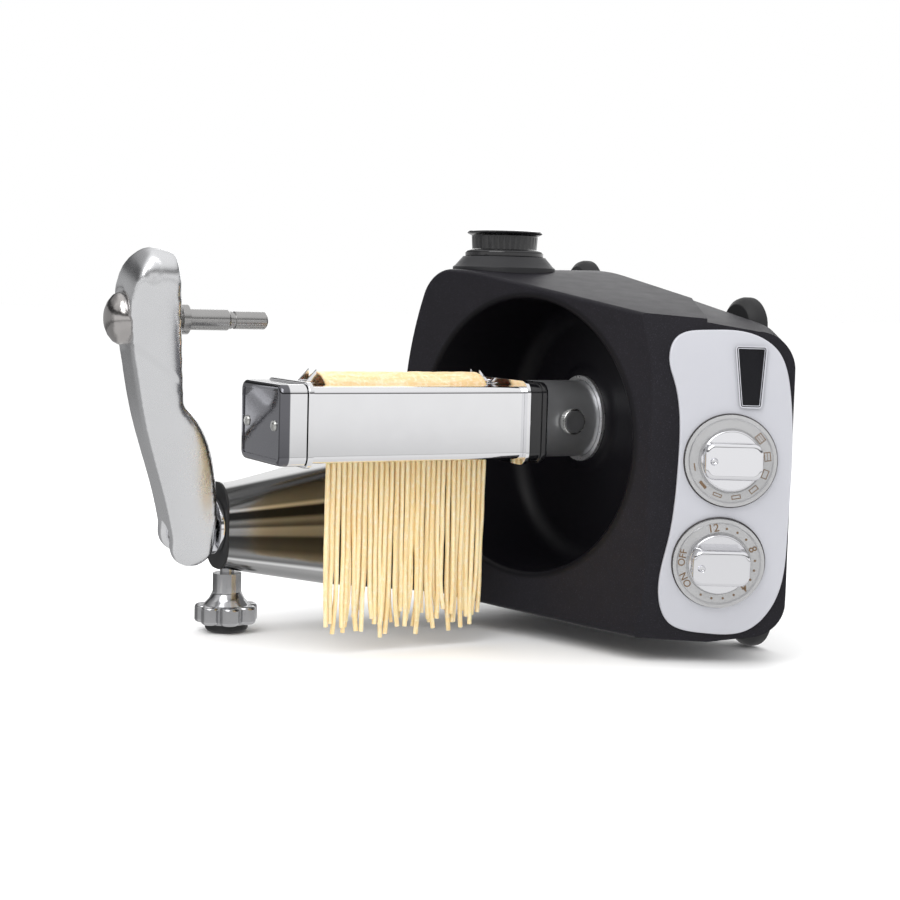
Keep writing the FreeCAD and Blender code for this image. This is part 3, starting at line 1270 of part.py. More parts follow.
# ---- the whole assembly ---------------------------------------------------------------
def build_all():
    """Every node's shape about the drive hub, by name."""
    return {
        "main_housing": main_housing(),
        "base_plate": base_plate(),
        "base_screws": base_screws(),
        "base_feet": base_feet(),
        "control_panel": control_panel(),
        "badge": badge(),
        "speed_dial": dial(SPEED_DIAL_AT),
        "speed_knob": knob(SPEED_DIAL_AT),
        "speed_sensor": sensor(SPEED_DIAL_AT),
        "timer_dial": dial(TIMER_DIAL_AT),
        "timer_knob": knob(TIMER_DIAL_AT),
        "timer_unit": sensor(TIMER_DIAL_AT),
        "circuit_board": circuit_board(),
        "hub_ring": hub_ring(),
        "drive_shaft": drive_shaft(),
        "drive_bearings": drive_bearings(),
        "drive_gear": drive_gear(),
        "motor_pinion": motor_pinion(),
        "motor_case": motor_case(),
        "motor_end_plates": motor_end_plates(),
        "motor_bracket": motor_bracket(),
        "motor_stator": motor_stator(),
        "motor_rotor": motor_rotor(),
        "motor_shaft": motor_shaft(),
        "motor_brushes": motor_brushes(),
        "outlet_skirt": outlet_skirt(),
        "outlet_collar": outlet_collar(),
        "outlet_cap": outlet_cap(),
        "cord_gland": cord_gland(),
        "arm_pedestal": arm_pedestal(),
        "column_sleeve": column_sleeve(),
        "column_gaskets": column_gaskets(),
        "column_post": column_post(),
        "hinge_block": hinge_block(),
        "hinge_pin": hinge_pin(),
        "arm": arm(),
        "axle_pin": axle_pin(),
        "dome_knob": dome_knob(),
        "star_knob": star_knob(),
        "star_knob_foot": star_knob_foot(),
        "cutter_front_cover": cutter_cover(True),
        "cutter_rear_cover": cutter_cover(False),
        "cutter_end_plates": cutter_end_plates(),
        "cutter_tie_rods": tie_rods(),
        "driven_roller": cutter_roller(True),
        "idle_roller": cutter_roller(False),
        "driven_roller_gear": roller_gear(True),
        "idle_roller_gear": roller_gear(False),
        "coupling_shaft": coupling_shaft(),
        "roller_combs": Part.makeCompound([comb(True), comb(False)]),
        "left_end_cap": left_end_cap(),
        "cutter_flanges": Part.makeCompound([left_flange(), right_flange()]),
        "right_end_cap": right_end_cap(),
        "attachment_hub": attachment_hub(),
        "thumb_screw": thumb_screw(),
        "end_cap_screws": cap_screws(),
        "sheet_guides": sheet_guides(),
        "dough_sheet": dough_sheet(),
        "pasta_strands": pasta_strands(),
    }


def ground_origin(shapes):
    """The middle of the whole box in X and Y, at its lowest level."""
    box = FreeCAD.BoundBox()
    for shape in shapes.values():
        box.add(shape.optimalBoundingBox(False))
    return V((box.XMin + box.XMax) / 2, (box.YMin + box.YMax) / 2, box.ZMin)


def main():
    """Build every node, move the origin and write the files."""
    os.makedirs("parts", exist_ok=True)
    shapes = build_all()
    origin = ground_origin(shapes)
    for name, shape in shapes.items():
        shape.translated(origin.negative()).exportStep("parts/%s.step" % name)


if __name__ == "__main__":
    main()
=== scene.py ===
"""The looks of a kitchen machine that lies on its side with a pasta cutter on its drive hub.

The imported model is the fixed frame. Each sub-assembly below is a class that makes its pieces with
Blender's own tools, in metres and in the frame of the model, and gives every piece its finish.
Places are written in millimetres about the drive hub, as the maker measures them.
"""

import json
import logging
import math
import random
from dataclasses import dataclass, field
from enum import Enum
from typing import Any, Callable, Iterable, Optional, Sequence, Union

import bmesh
import bpy
from mathutils import Matrix, Vector


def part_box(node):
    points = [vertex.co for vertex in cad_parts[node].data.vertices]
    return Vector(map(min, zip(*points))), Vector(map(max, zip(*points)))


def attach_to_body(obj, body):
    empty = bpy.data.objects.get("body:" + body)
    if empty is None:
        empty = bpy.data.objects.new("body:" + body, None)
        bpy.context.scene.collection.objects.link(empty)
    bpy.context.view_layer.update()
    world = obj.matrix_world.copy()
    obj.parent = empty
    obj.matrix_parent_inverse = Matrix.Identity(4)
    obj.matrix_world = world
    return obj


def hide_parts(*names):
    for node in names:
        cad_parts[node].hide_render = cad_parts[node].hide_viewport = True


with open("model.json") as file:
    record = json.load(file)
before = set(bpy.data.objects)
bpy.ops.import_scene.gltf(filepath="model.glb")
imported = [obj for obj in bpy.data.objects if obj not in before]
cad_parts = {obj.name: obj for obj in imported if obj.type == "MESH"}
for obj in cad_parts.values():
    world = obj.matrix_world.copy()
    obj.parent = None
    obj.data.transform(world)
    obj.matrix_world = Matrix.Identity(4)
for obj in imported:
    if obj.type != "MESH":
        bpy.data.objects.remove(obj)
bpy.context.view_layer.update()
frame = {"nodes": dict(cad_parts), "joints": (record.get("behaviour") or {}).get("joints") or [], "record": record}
RECORD = frame["record"]
NODES = frame["nodes"]
JOINTS = {joint["name"]: joint for joint in frame["joints"]}
BODY_OF = {n: body for body, names in RECORD["behaviour"]["bodies"].items() for n in names}
HUB = Vector(JOINTS["drive_spin"]["pos_m"])
MM = 0.001
LOG = logging.getLogger("kitchen_machine")
Colour = tuple[float, float, float]
Number = Union[float, "Signal"]


def at(x: float, y: float, z: float) -> Vector:
    """Turns a place in millimetres about the hub into the model's metres."""
    return HUB + Vector((x, y, z)) * MM


class Edge(Enum):
    """How far a refined part's edges are eased, in millimetres."""

    CRISP = 0.25
    EASED = 0.6
    SOFT = 1.2


# ---- finishes -------------------------------------------------------------------------
class Signal:
    """A shader socket that can be used in sums."""

    def __init__(self, shade: "Shade", socket: Optional[bpy.types.NodeSocket]) -> None:
        """Keeps the socket and the material that it belongs to."""
        self.shade = shade
        self.socket = socket

    def _sum(self, operation: str, first: Number, second: Number) -> "Signal":
        """Adds one Math node."""
        return self.shade.node("ShaderNodeMath", {"operation": operation}, {0: first, 1: second})

    def __add__(self, other: Number) -> "Signal":
        """self + other."""
        return self._sum("ADD", self, other)

    __radd__ = __add__

    def __sub__(self, other: Number) -> "Signal":
        """self - other."""
        return self._sum("SUBTRACT", self, other)

    def __rsub__(self, other: Number) -> "Signal":
        """other - self."""
        return self._sum("SUBTRACT", other, self)

    def __mul__(self, other: Number) -> "Signal":
        """self * other."""
        return self._sum("MULTIPLY", self, other)

    __rmul__ = __mul__

    def __pow__(self, other: Number) -> "Signal":
        """self to a power."""
        return self._sum("POWER", self, other)


class Shade:
    """One node tree, with the few ways in which nodes are added to it."""

    def __init__(self, tree: bpy.types.NodeTree) -> None:
        """Empties the tree."""
        self.tree = tree
        tree.nodes.clear()

    def node(
        self,
        kind: str,
        settings: Optional[dict[str, Any]] = None,
        inputs: Optional[dict[Any, Any]] = None,
        output: Union[int, str] = 0,
    ) -> Signal:
        """Adds a node, sets it up and links it.

        Args:
            kind: The node's Blender type.
            settings: Its settings; "stops" holds a ramp's (place, colour) pairs.
            inputs: Values or Signals for its sockets, by name or number.
            output: The socket that is returned.

        Returns:
            The chosen output as a Signal.
        """
        made = self.tree.nodes.new(kind)
        for key, value in (settings or {}).items():
            if key == "stops":
                ramp = made.color_ramp
                while len(ramp.elements) < len(value):
                    ramp.elements.new(0.5)
                for element, (place, colour) in zip(ramp.elements, value):
                    element.position = place
                    element.color = (*colour, 1.0) if isinstance(colour, tuple) else (colour,) * 3 + (1.0,)
            else:
                setattr(made, key, value)
        for key, value in (inputs or {}).items():
            socket = made.inputs[key]
            if isinstance(value, Signal):
                self.tree.links.new(value.socket, socket)
            elif isinstance(value, tuple) and socket.type == "RGBA":
                socket.default_value = (*value, 1.0)
            else:
                socket.default_value = value
        return Signal(self, made.outputs[output] if made.outputs else None)

    def place(self, stretch: tuple[float, float, float] = (1.0, 1.0, 1.0)) -> Signal:
        """The object's own coordinates in metres, stretched by a factor along each axis."""
        here = self.node("ShaderNodeTexCoord", output="Object")
        return self.node("ShaderNodeMapping", {}, {"Vector": here, "Scale": stretch})

    def axes(self) -> tuple["Signal", ...]:
        """The object's own x, y and z in metres, as three signals."""
        here = self.node("ShaderNodeTexCoord", output="Object")
        parts = self.node("ShaderNodeSeparateXYZ", {}, {0: here}).socket.node
        return tuple(Signal(self, output) for output in parts.outputs)

    def about_hub(self) -> tuple["Signal", "Signal"]:
        """How far along and how high above the hub a point lies, in millimetres."""
        x, _, z = self.axes()
        return (x - HUB.x) * (1.0 / MM), (z - HUB.z) * (1.0 / MM)

    def ramp(self, value: "Signal", low: float, high: float) -> "Signal":
        """0 up to the low value, 1 from the high one, and smooth between."""
        return self.node("ShaderNodeMapRange", {"interpolation_type": "SMOOTHSTEP"}, {
            "Value": value, "From Min": low, "From Max": high})

    def noise(self, size_mm: float, detail: float = 3.0, where: Optional[Signal] = None,
              roughness: float = 0.5) -> Signal:
        """Noise between 0 and 1 whose blobs have about the given size."""
        return self.node("ShaderNodeTexNoise", {}, {
            "Vector": where or self.place(), "Scale": 1.0 / (size_mm * MM), "Detail": detail,
            "Roughness": roughness}, "Fac")

    def mix(self, factor: Number, first: Any, second: Any) -> Signal:
        """Mixes two colours."""
        return self.node("ShaderNodeMix", {"data_type": "RGBA"}, {0: factor, 6: first, 7: second}, 2)

    def steps(self, value: Signal, stops: Sequence[tuple[float, Any]], smooth: bool = True) -> Signal:
        """A colour ramp."""
        made = self.node("ShaderNodeValToRGB", {"stops": stops}, {"Fac": value})
        made.socket.node.color_ramp.interpolation = "EASE" if smooth else "LINEAR"
        return made


@dataclass(frozen=True)
class Finish:
    """A surface: its colour, gloss, slow mottling and fine grain."""

    name: str
    colour: Colour
    roughness: float
    metallic: float = 0.0
    mottle: float = 0.12
    mottle_mm: float = 22.0
    rough_spread: float = 0.06
    grain_mm: float = 0.7
    grain_depth_mm: float = 0.01
    coat: float = 0.0
    coat_roughness: float = 0.08
    specular: float = 0.5
    subsurface: float = 0.0

    def tint(self, shade: Shade) -> Signal:
        """The base colour, a little lighter and darker in slow clouds."""
        low = tuple(c * (1.0 - self.mottle) for c in self.colour)
        high = tuple(min(1.0, c * (1.0 + self.mottle)) for c in self.colour)
        return shade.mix(shade.noise(self.mottle_mm, 4.0), low, high)

    def gloss(self, shade: Shade) -> Signal:
        """Roughness with faint smudges."""
        smudge = shade.noise(self.mottle_mm * 0.6, 5.0)
        return (smudge - 0.5) * (2.0 * self.rough_spread) + self.roughness

    def relief(self, shade: Shade) -> Signal:
        """The height of the grain, between 0 and 1."""
        return shade.noise(self.grain_mm, 3.0)

    def material(self) -> bpy.types.Material:
        """Builds the material once and returns it."""
        known = bpy.data.materials.get(self.name)
        if known is not None:
            return known
        made = bpy.data.materials.new(self.name)
        made.use_nodes = True
        shade = Shade(made.node_tree)
        bump = shade.node("ShaderNodeBump", {}, {
            "Height": self.relief(shade), "Strength": 1.0, "Distance": self.grain_depth_mm * MM})
        surface = shade.node("ShaderNodeBsdfPrincipled", {}, {
            "Base Color": self.tint(shade), "Roughness": self.gloss(shade), "Metallic": self.metallic,
            "Normal": bump, "Coat Weight": self.coat, "Coat Roughness": self.coat_roughness,
            "Specular IOR Level": self.specular, "Subsurface Weight": self.subsurface,
            "Subsurface Scale": 0.004})
        shade.node("ShaderNodeOutputMaterial", {}, {"Surface": surface})
        made.diffuse_color = (*self.colour, 1.0)
        return made


@dataclass(frozen=True)
class GrainedPaint(Finish):
    """Anthracite paint with fine light specks outside and plain matt black in the bowl's well."""

    well_r_mm: float = 99.0
    well_z_mm: float = -12.0
    well_colour: Colour = (0.0045, 0.004, 0.006)

    def _inside(self, shade: Shade) -> Signal:
        """1 inside the round well, 0 outside."""
        _, y, z = shade.axes()
        y = y - HUB.y
        z = z - (HUB.z + self.well_z_mm * MM)
        reach = (y * y + z * z) ** 0.5
        return shade.node("ShaderNodeMapRange", {"interpolation_type": "SMOOTHSTEP"}, {
            "Value": reach, "From Min": self.well_r_mm * MM, "From Max": (self.well_r_mm + 2.5) * MM,
            "To Min": 1.0, "To Max": 0.0})

    def tint(self, shade: Shade) -> Signal:
        """Paint outside, black inside, with sparse light specks on the paint."""
        body = Finish.tint(self, shade)
        specks = shade.steps(shade.noise(0.55, 1.0), [(0.60, 0.0), (0.74, 1.0)])
        lit = shade.mix(specks * 0.55, body, tuple(c * 5.0 for c in self.colour))
        return shade.mix(self._inside(shade), lit, self.well_colour)

    def gloss(self, shade: Shade) -> Signal:
        """The well is a little smoother than the paint."""
        return Finish.gloss(self, shade) - self._inside(shade) * 0.06


@dataclass(frozen=True)
class Drawn(Finish):
    """Metal that was turned or drawn, with fine lines along one axis."""

    stretch: tuple[float, float, float] = (0.04, 1.0, 1.0)

    def relief(self, shade: Shade) -> Signal:
        """Fine lines."""
        return shade.noise(self.grain_mm, 2.0, shade.place(self.stretch))

    def gloss(self, shade: Shade) -> Signal:
        """Roughness that follows the lines."""
        lines = shade.noise(self.grain_mm * 1.5, 2.0, shade.place(self.stretch))
        return (lines - 0.5) * (3.0 * self.rough_spread) + self.roughness


@dataclass(frozen=True)
class Casting(Finish):
    """Hand-polished cast metal: slow waves, small pits and satin patches."""

    wave_mm: float = 9.0

    def relief(self, shade: Shade) -> Signal:
        """Slow polishing waves with grain on top."""
        waves = shade.noise(self.wave_mm, 2.0)
        return waves * 0.94 + shade.noise(self.grain_mm, 3.0) * 0.06

    def gloss(self, shade: Shade) -> Signal:
        """Satin patches where the wheel ran dry."""
        patches = shade.noise(16.0, 6.0, roughness=0.62)
        fine = shade.noise(1.1, 2.0, shade.place((1.0, 1.0, 0.15)))
        return (patches - 0.5) * 0.06 + (fine - 0.5) * 0.04 + self.roughness


@dataclass(frozen=True)
class ArmCasting(Casting):
    """The arm's casting: polished, with an oval dimple near its top and a slanting ridge below."""

    dimple_at: tuple[float, float] = (-311.0, 96.0)
    dimple_size: tuple[float, float] = (6.5, 11.0)
    ridge_at: tuple[float, float] = (-293.0, 29.0)
    ridge_slope: tuple[float, float] = (0.554, 0.832)
    ridge_half_mm: float = 3.0
    depth: float = 11.0
    middle_x_mm: float = -282.0
    lean: float = 0.25
    half_mm: float = 20.0
    bow: float = 46.0

    def relief(self, shade: Shade) -> Signal:
        """The casting's bowed side and waves, with the dimple and the ridge cut into them."""
        x, z = shade.about_hub()
        across = (x - self.dimple_at[0]) * (1.0 / self.dimple_size[0])
        along = (z - self.dimple_at[1]) * (1.0 / self.dimple_size[1])
        ring = (across * across + along * along) ** 0.5
        dimple = shade.ramp(ring, 0.45, 1.1)
        side = (x - self.ridge_at[0]) * self.ridge_slope[0] + (z - self.ridge_at[1]) * self.ridge_slope[1]
        ridge = shade.ramp(side, -self.ridge_half_mm, self.ridge_half_mm)
        share = (x - self.middle_x_mm + z * self.lean) * (1.0 / self.half_mm)
        bowed = share * share * -self.bow
        return Casting.relief(self, shade) + dimple * self.depth + ridge * self.depth + bowed


@dataclass(frozen=True)
class PaintedReflectionBanded(Finish):
    """Plating over a tapered, bowed side, with the room's reflection painted into its colour as long level bands.
    """

    centre_z_mm: float = -80.0
    half_at_hub_mm: float = 82.1
    half_per_mm: float = 0.219
    # Painted reflection: each stop is a grey level of the room's mirrored bands, put into the base colour.
    bands: tuple[tuple[float, float], ...] = (
        (0.00, 0.30), (0.08, 0.36), (0.13, 0.46), (0.15, 0.85), (0.18, 0.20), (0.22, 0.30), (0.30, 0.10),
        (0.40, 0.06), (0.44, 0.40), (0.49, 0.46), (0.52, 0.12), (0.57, 0.30), (0.61, 0.03), (0.67, 0.03),
        (0.70, 0.75), (0.73, 0.22), (0.84, 0.13), (0.94, 0.08), (0.97, 0.80), (1.00, 0.85))

    def tint(self, shade: Shade) -> Signal:
        """Painted reflection bands in the base colour that follow the taper, from the lower edge to the upper one.
        """
        x, z = shade.about_hub()
        half = x * self.half_per_mm + self.half_at_hub_mm
        share = (z - self.centre_z_mm) * half ** -1.0 * 0.5 + 0.5
        return shade.steps(share, list(self.bands))


@dataclass(frozen=True)
class PaintedReflectionFaced(Finish):
    """Bright plating whose pressed end face carries a dark reflection of the room painted into its colour."""

    face_x_mm: float = -244.0
    edge_mm: float = 0.8
    # Painted reflection: the dark room that the end face mirrors, put into its colour.
    painted_reflection_colour: Colour = (0.16, 0.16, 0.175)

    def tint(self, shade: Shade) -> Signal:
        """A painted dark reflection on the face, bright on the rim."""
        x, _ = shade.about_hub()
        rim = shade.ramp(x, self.face_x_mm, self.face_x_mm + self.edge_mm)
        return shade.mix(rim, self.painted_reflection_colour, Finish.tint(self, shade))


@dataclass(frozen=True)
class Floured(Finish):
    """Fresh egg dough with flour on it, streaked along its length."""

    flour: float = 0.55
    streak: tuple[float, float, float] = (1.0, 1.0, 0.05)

    def tint(self, shade: Shade) -> Signal:
        """Yellow dough in two shades with white dust."""
        streaks = shade.noise(2.6, 2.0, shade.place(self.streak))
        deep = tuple(c * f for c, f in zip(self.colour, (0.94, 0.87, 0.74)))
        dough = shade.mix(shade.steps(streaks, [(0.36, 0.0), (0.62, 1.0)]), deep, self.colour)
        dust = shade.steps(shade.noise(3.2, 7.0, roughness=0.68), [(0.46, 0.0), (0.66, 1.0)])
        return shade.mix(dust * self.flour, dough, (0.93, 0.88, 0.76))

    def relief(self, shade: Shade) -> Signal:
        """Dough is slightly rough, and flour sits on it in crumbs."""
        return shade.noise(0.8, 4.0) * 0.6 + shade.noise(3.0, 3.0) * 0.4


@dataclass(frozen=True)
class Laminated(Finish):
    """A stack of thin sheets, seen as fine lines across X."""

    def relief(self, shade: Shade) -> Signal:
        """One line for each sheet."""
        return shade.node("ShaderNodeTexWave", {"wave_type": "BANDS", "bands_direction": "X"}, {
            "Vector": shade.place(), "Scale": 300.0, "Distortion": 0.2}, "Fac")


@dataclass(frozen=True)
class Board(Finish):
    """A circuit board: green mask with lighter tracks under it."""

    def tint(self, shade: Shade) -> Signal:
        """Tracks between cells."""
        cells = shade.node("ShaderNodeTexVoronoi", {"distance": "MANHATTAN", "feature": "F1"}, {
            "Vector": shade.place(), "Scale": 240.0}, "Distance")
        tracks = shade.steps(cells, [(0.30, 0.0), (0.36, 1.0)])
        return shade.mix(tracks, self.colour, tuple(min(1.0, c * 2.2 + 0.02) for c in self.colour))


PAINT = GrainedPaint("paint_anthracite", (0.0100, 0.0092, 0.0125), 0.50, mottle=0.15, grain_mm=0.6,
                     grain_depth_mm=0.05, specular=0.20)
MATT_PLATE = Finish("plate_matt_black", (0.02, 0.02, 0.022), 0.62, grain_mm=0.5, grain_depth_mm=0.04)
ZINC = Drawn("steel_zinc", (0.62, 0.62, 0.60), 0.28, 1.0, grain_mm=0.4)
RUBBER = Finish("rubber_black", (0.012, 0.012, 0.013), 0.60, mottle=0.25, grain_mm=0.4, grain_depth_mm=0.03)
PANEL = Finish("panel_satin_silver", (0.52, 0.525, 0.565), 0.38, 0.20, mottle=0.03, mottle_mm=40.0,
               rough_spread=0.03, grain_mm=0.25, grain_depth_mm=0.004, coat=0.15, coat_roughness=0.3)
BADGE = Finish("badge_gloss_black", (0.008, 0.008, 0.010), 0.16, mottle=0.1, coat=0.6)
DIAL = Finish("dial_silver_under_clear", (0.46, 0.46, 0.465), 0.26, 0.40, mottle=0.08, mottle_mm=14.0,
              rough_spread=0.03, coat=1.0, coat_roughness=0.05, grain_mm=0.5, grain_depth_mm=0.002)
KNOB = Finish("knob_chrome", (0.62, 0.62, 0.63), 0.20, 1.0, mottle=0.10, mottle_mm=9.0, rough_spread=0.04,
              grain_mm=1.5, grain_depth_mm=0.002)
MARK = Finish("print_bronze", (0.17, 0.105, 0.055), 0.5, 0.0, mottle=0.2, mottle_mm=3.0)
# Painted shade: the dark ring that stands for the shade in the gap round each dial.
GAP_SHADE = Finish("gap_painted_shade", (0.05, 0.045, 0.045), 0.5, 0.0, mottle=0.2, mottle_mm=3.0)
DARK_PLASTIC = Finish("plastic_dark", (0.014, 0.014, 0.016), 0.46, grain_mm=0.5, grain_depth_mm=0.02)
CIRCUIT = Board("board_green", (0.02, 0.12, 0.05), 0.35, coat=0.3)
RING = Drawn("ring_satin_aluminium", (0.78, 0.78, 0.79), 0.30, 0.9, grain_mm=0.4, stretch=(1.0, 0.3, 0.3))
STEEL = Drawn("steel_ground", (0.43, 0.425, 0.42), 0.26, 1.0, mottle=0.08, grain_mm=0.45,
              grain_depth_mm=0.006, stretch=(1.0, 0.08, 0.08))
BRONZE = Finish("bronze_sintered", (0.55, 0.36, 0.16), 0.42, 1.0, grain_mm=0.3, grain_depth_mm=0.02)
NYLON = Finish("nylon_natural", (0.80, 0.78, 0.68), 0.45, mottle=0.05, subsurface=0.15)
GREY_CASE = Finish("case_grey", (0.23, 0.24, 0.26), 0.45, mottle=0.1, grain_mm=0.8, grain_depth_mm=0.02)
DIE_CAST = Casting("aluminium_die_cast", (0.62, 0.63, 0.65), 0.40, 1.0, grain_depth_mm=0.05)
CORE = Laminated("core_laminated", (0.22, 0.22, 0.23), 0.45, 0.8, grain_depth_mm=0.05)
CARBON = Finish("carbon_brush", (0.03, 0.03, 0.03), 0.55, grain_mm=0.4, grain_depth_mm=0.02)
GLOSS_BLACK = Finish("plastic_gloss_black", (0.006, 0.006, 0.007), 0.14, mottle=0.2, rough_spread=0.05,
                     coat=0.5, grain_depth_mm=0.003)
CHROME = Finish("chrome_mirror", (0.86, 0.86, 0.88), 0.055, 1.0, mottle=0.03, mottle_mm=30.0,
                rough_spread=0.025, grain_mm=14.0, grain_depth_mm=0.006)
CUTTER_CHROME = Finish("chrome_cutter", (0.90, 0.90, 0.915), 0.075, 1.0, mottle=0.025, mottle_mm=24.0,
                       rough_spread=0.03, grain_mm=18.0, grain_depth_mm=0.01)
# The cap's end face has a painted dark reflection in its colour.
CAP_CHROME_PAINTED_REFLECTION = PaintedReflectionFaced("chrome_cap_painted_dark_reflection", (0.88, 0.88, 0.895), 0.075, 1.0, mottle=0.025,
                       mottle_mm=24.0, rough_spread=0.03, grain_mm=18.0, grain_depth_mm=0.01)
# The column's colour holds a painted reflection of the room, in bands.
COLUMN_CHROME_PAINTED_REFLECTION = PaintedReflectionBanded("chrome_column_painted_reflection", (0.40, 0.40, 0.42), 0.20, 1.0, rough_spread=0.03,
                       grain_mm=14.0, grain_depth_mm=0.006)
KNOB_STEEL = Finish("steel_star_knob", (0.50, 0.50, 0.51), 0.17, 1.0, mottle=0.12, mottle_mm=8.0,
                    grain_depth_mm=0.01)
DARK_CHROME = Finish("chrome_dark", (0.50, 0.48, 0.47), 0.16, 1.0, mottle=0.12, grain_depth_mm=0.01)
ARM_ALLOY = ArmCasting("alloy_polished_casting", (0.80, 0.805, 0.82), 0.27, 1.0, mottle=0.05,
                       mottle_mm=26.0, grain_mm=0.9, grain_depth_mm=0.06)
HUB_GREY = Drawn("hub_satin_grey", (0.50, 0.505, 0.52), 0.36, 0.85, grain_mm=0.5, stretch=(1.0, 0.2, 0.2))
SCREW_FACE = Finish("screw_knurled", (0.26, 0.26, 0.27), 0.42, 0.9, grain_mm=0.9, grain_depth_mm=0.12)
DOUGH = Floured("dough_sheet_floured", (0.80, 0.60, 0.34), 0.62, grain_depth_mm=0.10, subsurface=0.12,
                flour=0.40, streak=(0.2, 1.0, 1.0))
STRAND = Floured("dough_strands_floured", (0.96, 0.78, 0.46), 0.60, grain_depth_mm=0.08, subsurface=0.12,
                 flour=0.42)


# ---- tools ----------------------------------------------------------------------------
class Bench:
    """Blender's own tools, used on one object at a time."""

    @staticmethod
    def clear() -> None:
        """Leaves edit mode and deselects everything."""
        if bpy.context.object and bpy.context.object.mode != "OBJECT":
            bpy.ops.object.mode_set(mode="OBJECT")
        bpy.ops.object.select_all(action="DESELECT")

    @staticmethod
    def take(piece: bpy.types.Object) -> None:
        """Makes one object the only one selected and active."""
        Bench.clear()
        piece.select_set(True)
        bpy.context.view_layer.objects.active = piece

    @staticmethod
    def named(name: str) -> bpy.types.Object:
        """Names the object that an operator has just added."""
        piece = bpy.context.object
        piece.name = name
        piece.data.name = name
        return piece

    @staticmethod
    def pick(piece: bpy.types.Object, kind: str, test: Callable[[Any], bool]) -> int:
        """Enters edit mode and selects what passes a test.

        Args:
            piece: The object.
            kind: VERT, EDGE or FACE.
            test: Says whether one element is wanted.

        Returns:
            How many were selected.
        """
        Bench.take(piece)
        bpy.ops.object.mode_set(mode="EDIT")
        bpy.ops.mesh.select_mode(type=kind)
        bpy.ops.mesh.select_all(action="DESELECT")
        shape = bmesh.from_edit_mesh(piece.data)
        elements = {"VERT": shape.verts, "EDGE": shape.edges, "FACE": shape.faces}[kind]
        wanted = [e for e in elements if test(e)]
        for element in wanted:
            element.select_set(True)
        if kind == "VERT":
            shape.select_flush(True)
        bmesh.update_edit_mesh(piece.data)
        return len(wanted)

    @staticmethod
    def joined(name: str, pieces: Iterable[bpy.types.Object]) -> bpy.types.Object:
        """Joins pieces into one."""
        group = list(pieces)
        Bench.take(group[0])
        for piece in group:
            piece.select_set(True)
        bpy.ops.object.join()
        return Bench.named(name)

    @staticmethod
    def modify(piece: bpy.types.Object, kind: str, **settings: Any) -> None:
        """Adds a modifier and applies it."""
        Bench.take(piece)
        made = piece.modifiers.new(kind.lower(), kind)
        for key, value in settings.items():
            setattr(made, key, value)
        bpy.ops.object.modifier_apply(modifier=made.name)

    @staticmethod
    def bake_place(piece: bpy.types.Object, place: Optional[Matrix] = None) -> None:
        """Moves the object's place into its mesh, so that the object sits at the origin."""
        Bench.take(piece)
        bpy.ops.object.transform_apply(location=True, rotation=True, scale=True)
        if place is not None:
            piece.data.transform(place)
            piece.data.update()

    @staticmethod
    def smooth(piece: bpy.types.Object, degrees: float = 32.0) -> None:
        """Smooths the shading except at edges sharper than an angle."""
        Bench.take(piece)
        bpy.ops.object.shade_smooth_by_angle(angle=math.radians(degrees))


def dress(piece: bpy.types.Object, finish: Finish) -> None:
    """Gives the whole object one finish."""
    piece.data.materials.clear()
    piece.data.materials.append(finish.material())


def attach(piece: bpy.types.Object, body: str, finish: Finish) -> bpy.types.Object:
    """Dresses a piece, fixes it to a body and reports it.

    Args:
        piece: The finished object.
        body: The body that it moves with.
        finish: Its finish.

    Returns:
        The same object.
    """
    dress(piece, finish)
    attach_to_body(piece, body)
    LOG.info("%s: %d faces on %s, %s", piece.name, len(piece.data.polygons), body, finish.name)
    return piece


def copied(node: str, name: str) -> bpy.types.Object:
    """A merged copy of a CAD part, ready to be worked on."""
    source = NODES[node]
    piece = source.copy()
    piece.data = source.data.copy()
    piece.name = name
    piece.data.name = name
    piece.parent = None
    for key in list(piece.keys()):
        del piece[key]
    bpy.context.scene.collection.objects.link(piece)
    piece.hide_viewport = False
    piece.hide_render = False
    piece.hide_set(False)
    Bench.take(piece)
    bpy.ops.object.mode_set(mode="EDIT")
    bpy.ops.mesh.select_all(action="SELECT")
    bpy.ops.mesh.customdata_custom_splitnormals_clear()
    bpy.ops.mesh.remove_doubles(threshold=0.004 * MM)
    bpy.ops.object.mode_set(mode="OBJECT")
    return piece


def refined(node: str, finish: Finish, edge: Optional[Edge] = None,
            degrees: float = 30.0) -> bpy.types.Object:
    """A CAD part with smooth shading and eased edges, standing for the plain one.

    Args:
        node: The CAD part.
        finish: Its finish.
        edge: How far sharp edges are eased, or None to leave them.
        degrees: Edges sharper than this stay edges.

    Returns:
        The new piece.
    """
    piece = copied(node, f"{node}_finished")
    Bench.pick(piece, "FACE", lambda f: True)
    bpy.ops.mesh.dissolve_limited(angle_limit=math.radians(0.2), use_dissolve_boundaries=False)
    bpy.ops.object.mode_set(mode="OBJECT")
    if edge is not None:
        Bench.modify(piece, "BEVEL", width=edge.value * MM, segments=2, limit_method="ANGLE",
                     angle_limit=math.radians(38.0), use_clamp_overlap=True)
    Bench.smooth(piece, degrees + 12.0 if edge is not None else degrees)
    Bench.modify(piece, "WEIGHTED_NORMAL", keep_sharp=True)
    attach(piece, BODY_OF[node], finish)
    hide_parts(node)
    return piece


def cast(node: str, finish: Finish, voxel_mm: float, rounds: int) -> bpy.types.Object:
    """A CAD part whose edges are worn round as on a casting.

    Args:
        node: The CAD part.
        finish: Its finish.
        voxel_mm: The size of the new mesh's cells.
        rounds: How often the surface is relaxed.

    Returns:
        The new piece.
    """
    piece = copied(node, f"{node}_cast")
    Bench.modify(piece, "REMESH", mode="VOXEL", voxel_size=voxel_mm * MM)
    Bench.modify(piece, "SMOOTH", factor=0.5, iterations=rounds)
    Bench.smooth(piece, 80.0)
    attach(piece, BODY_OF[node], finish)
    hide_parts(node)
    return piece


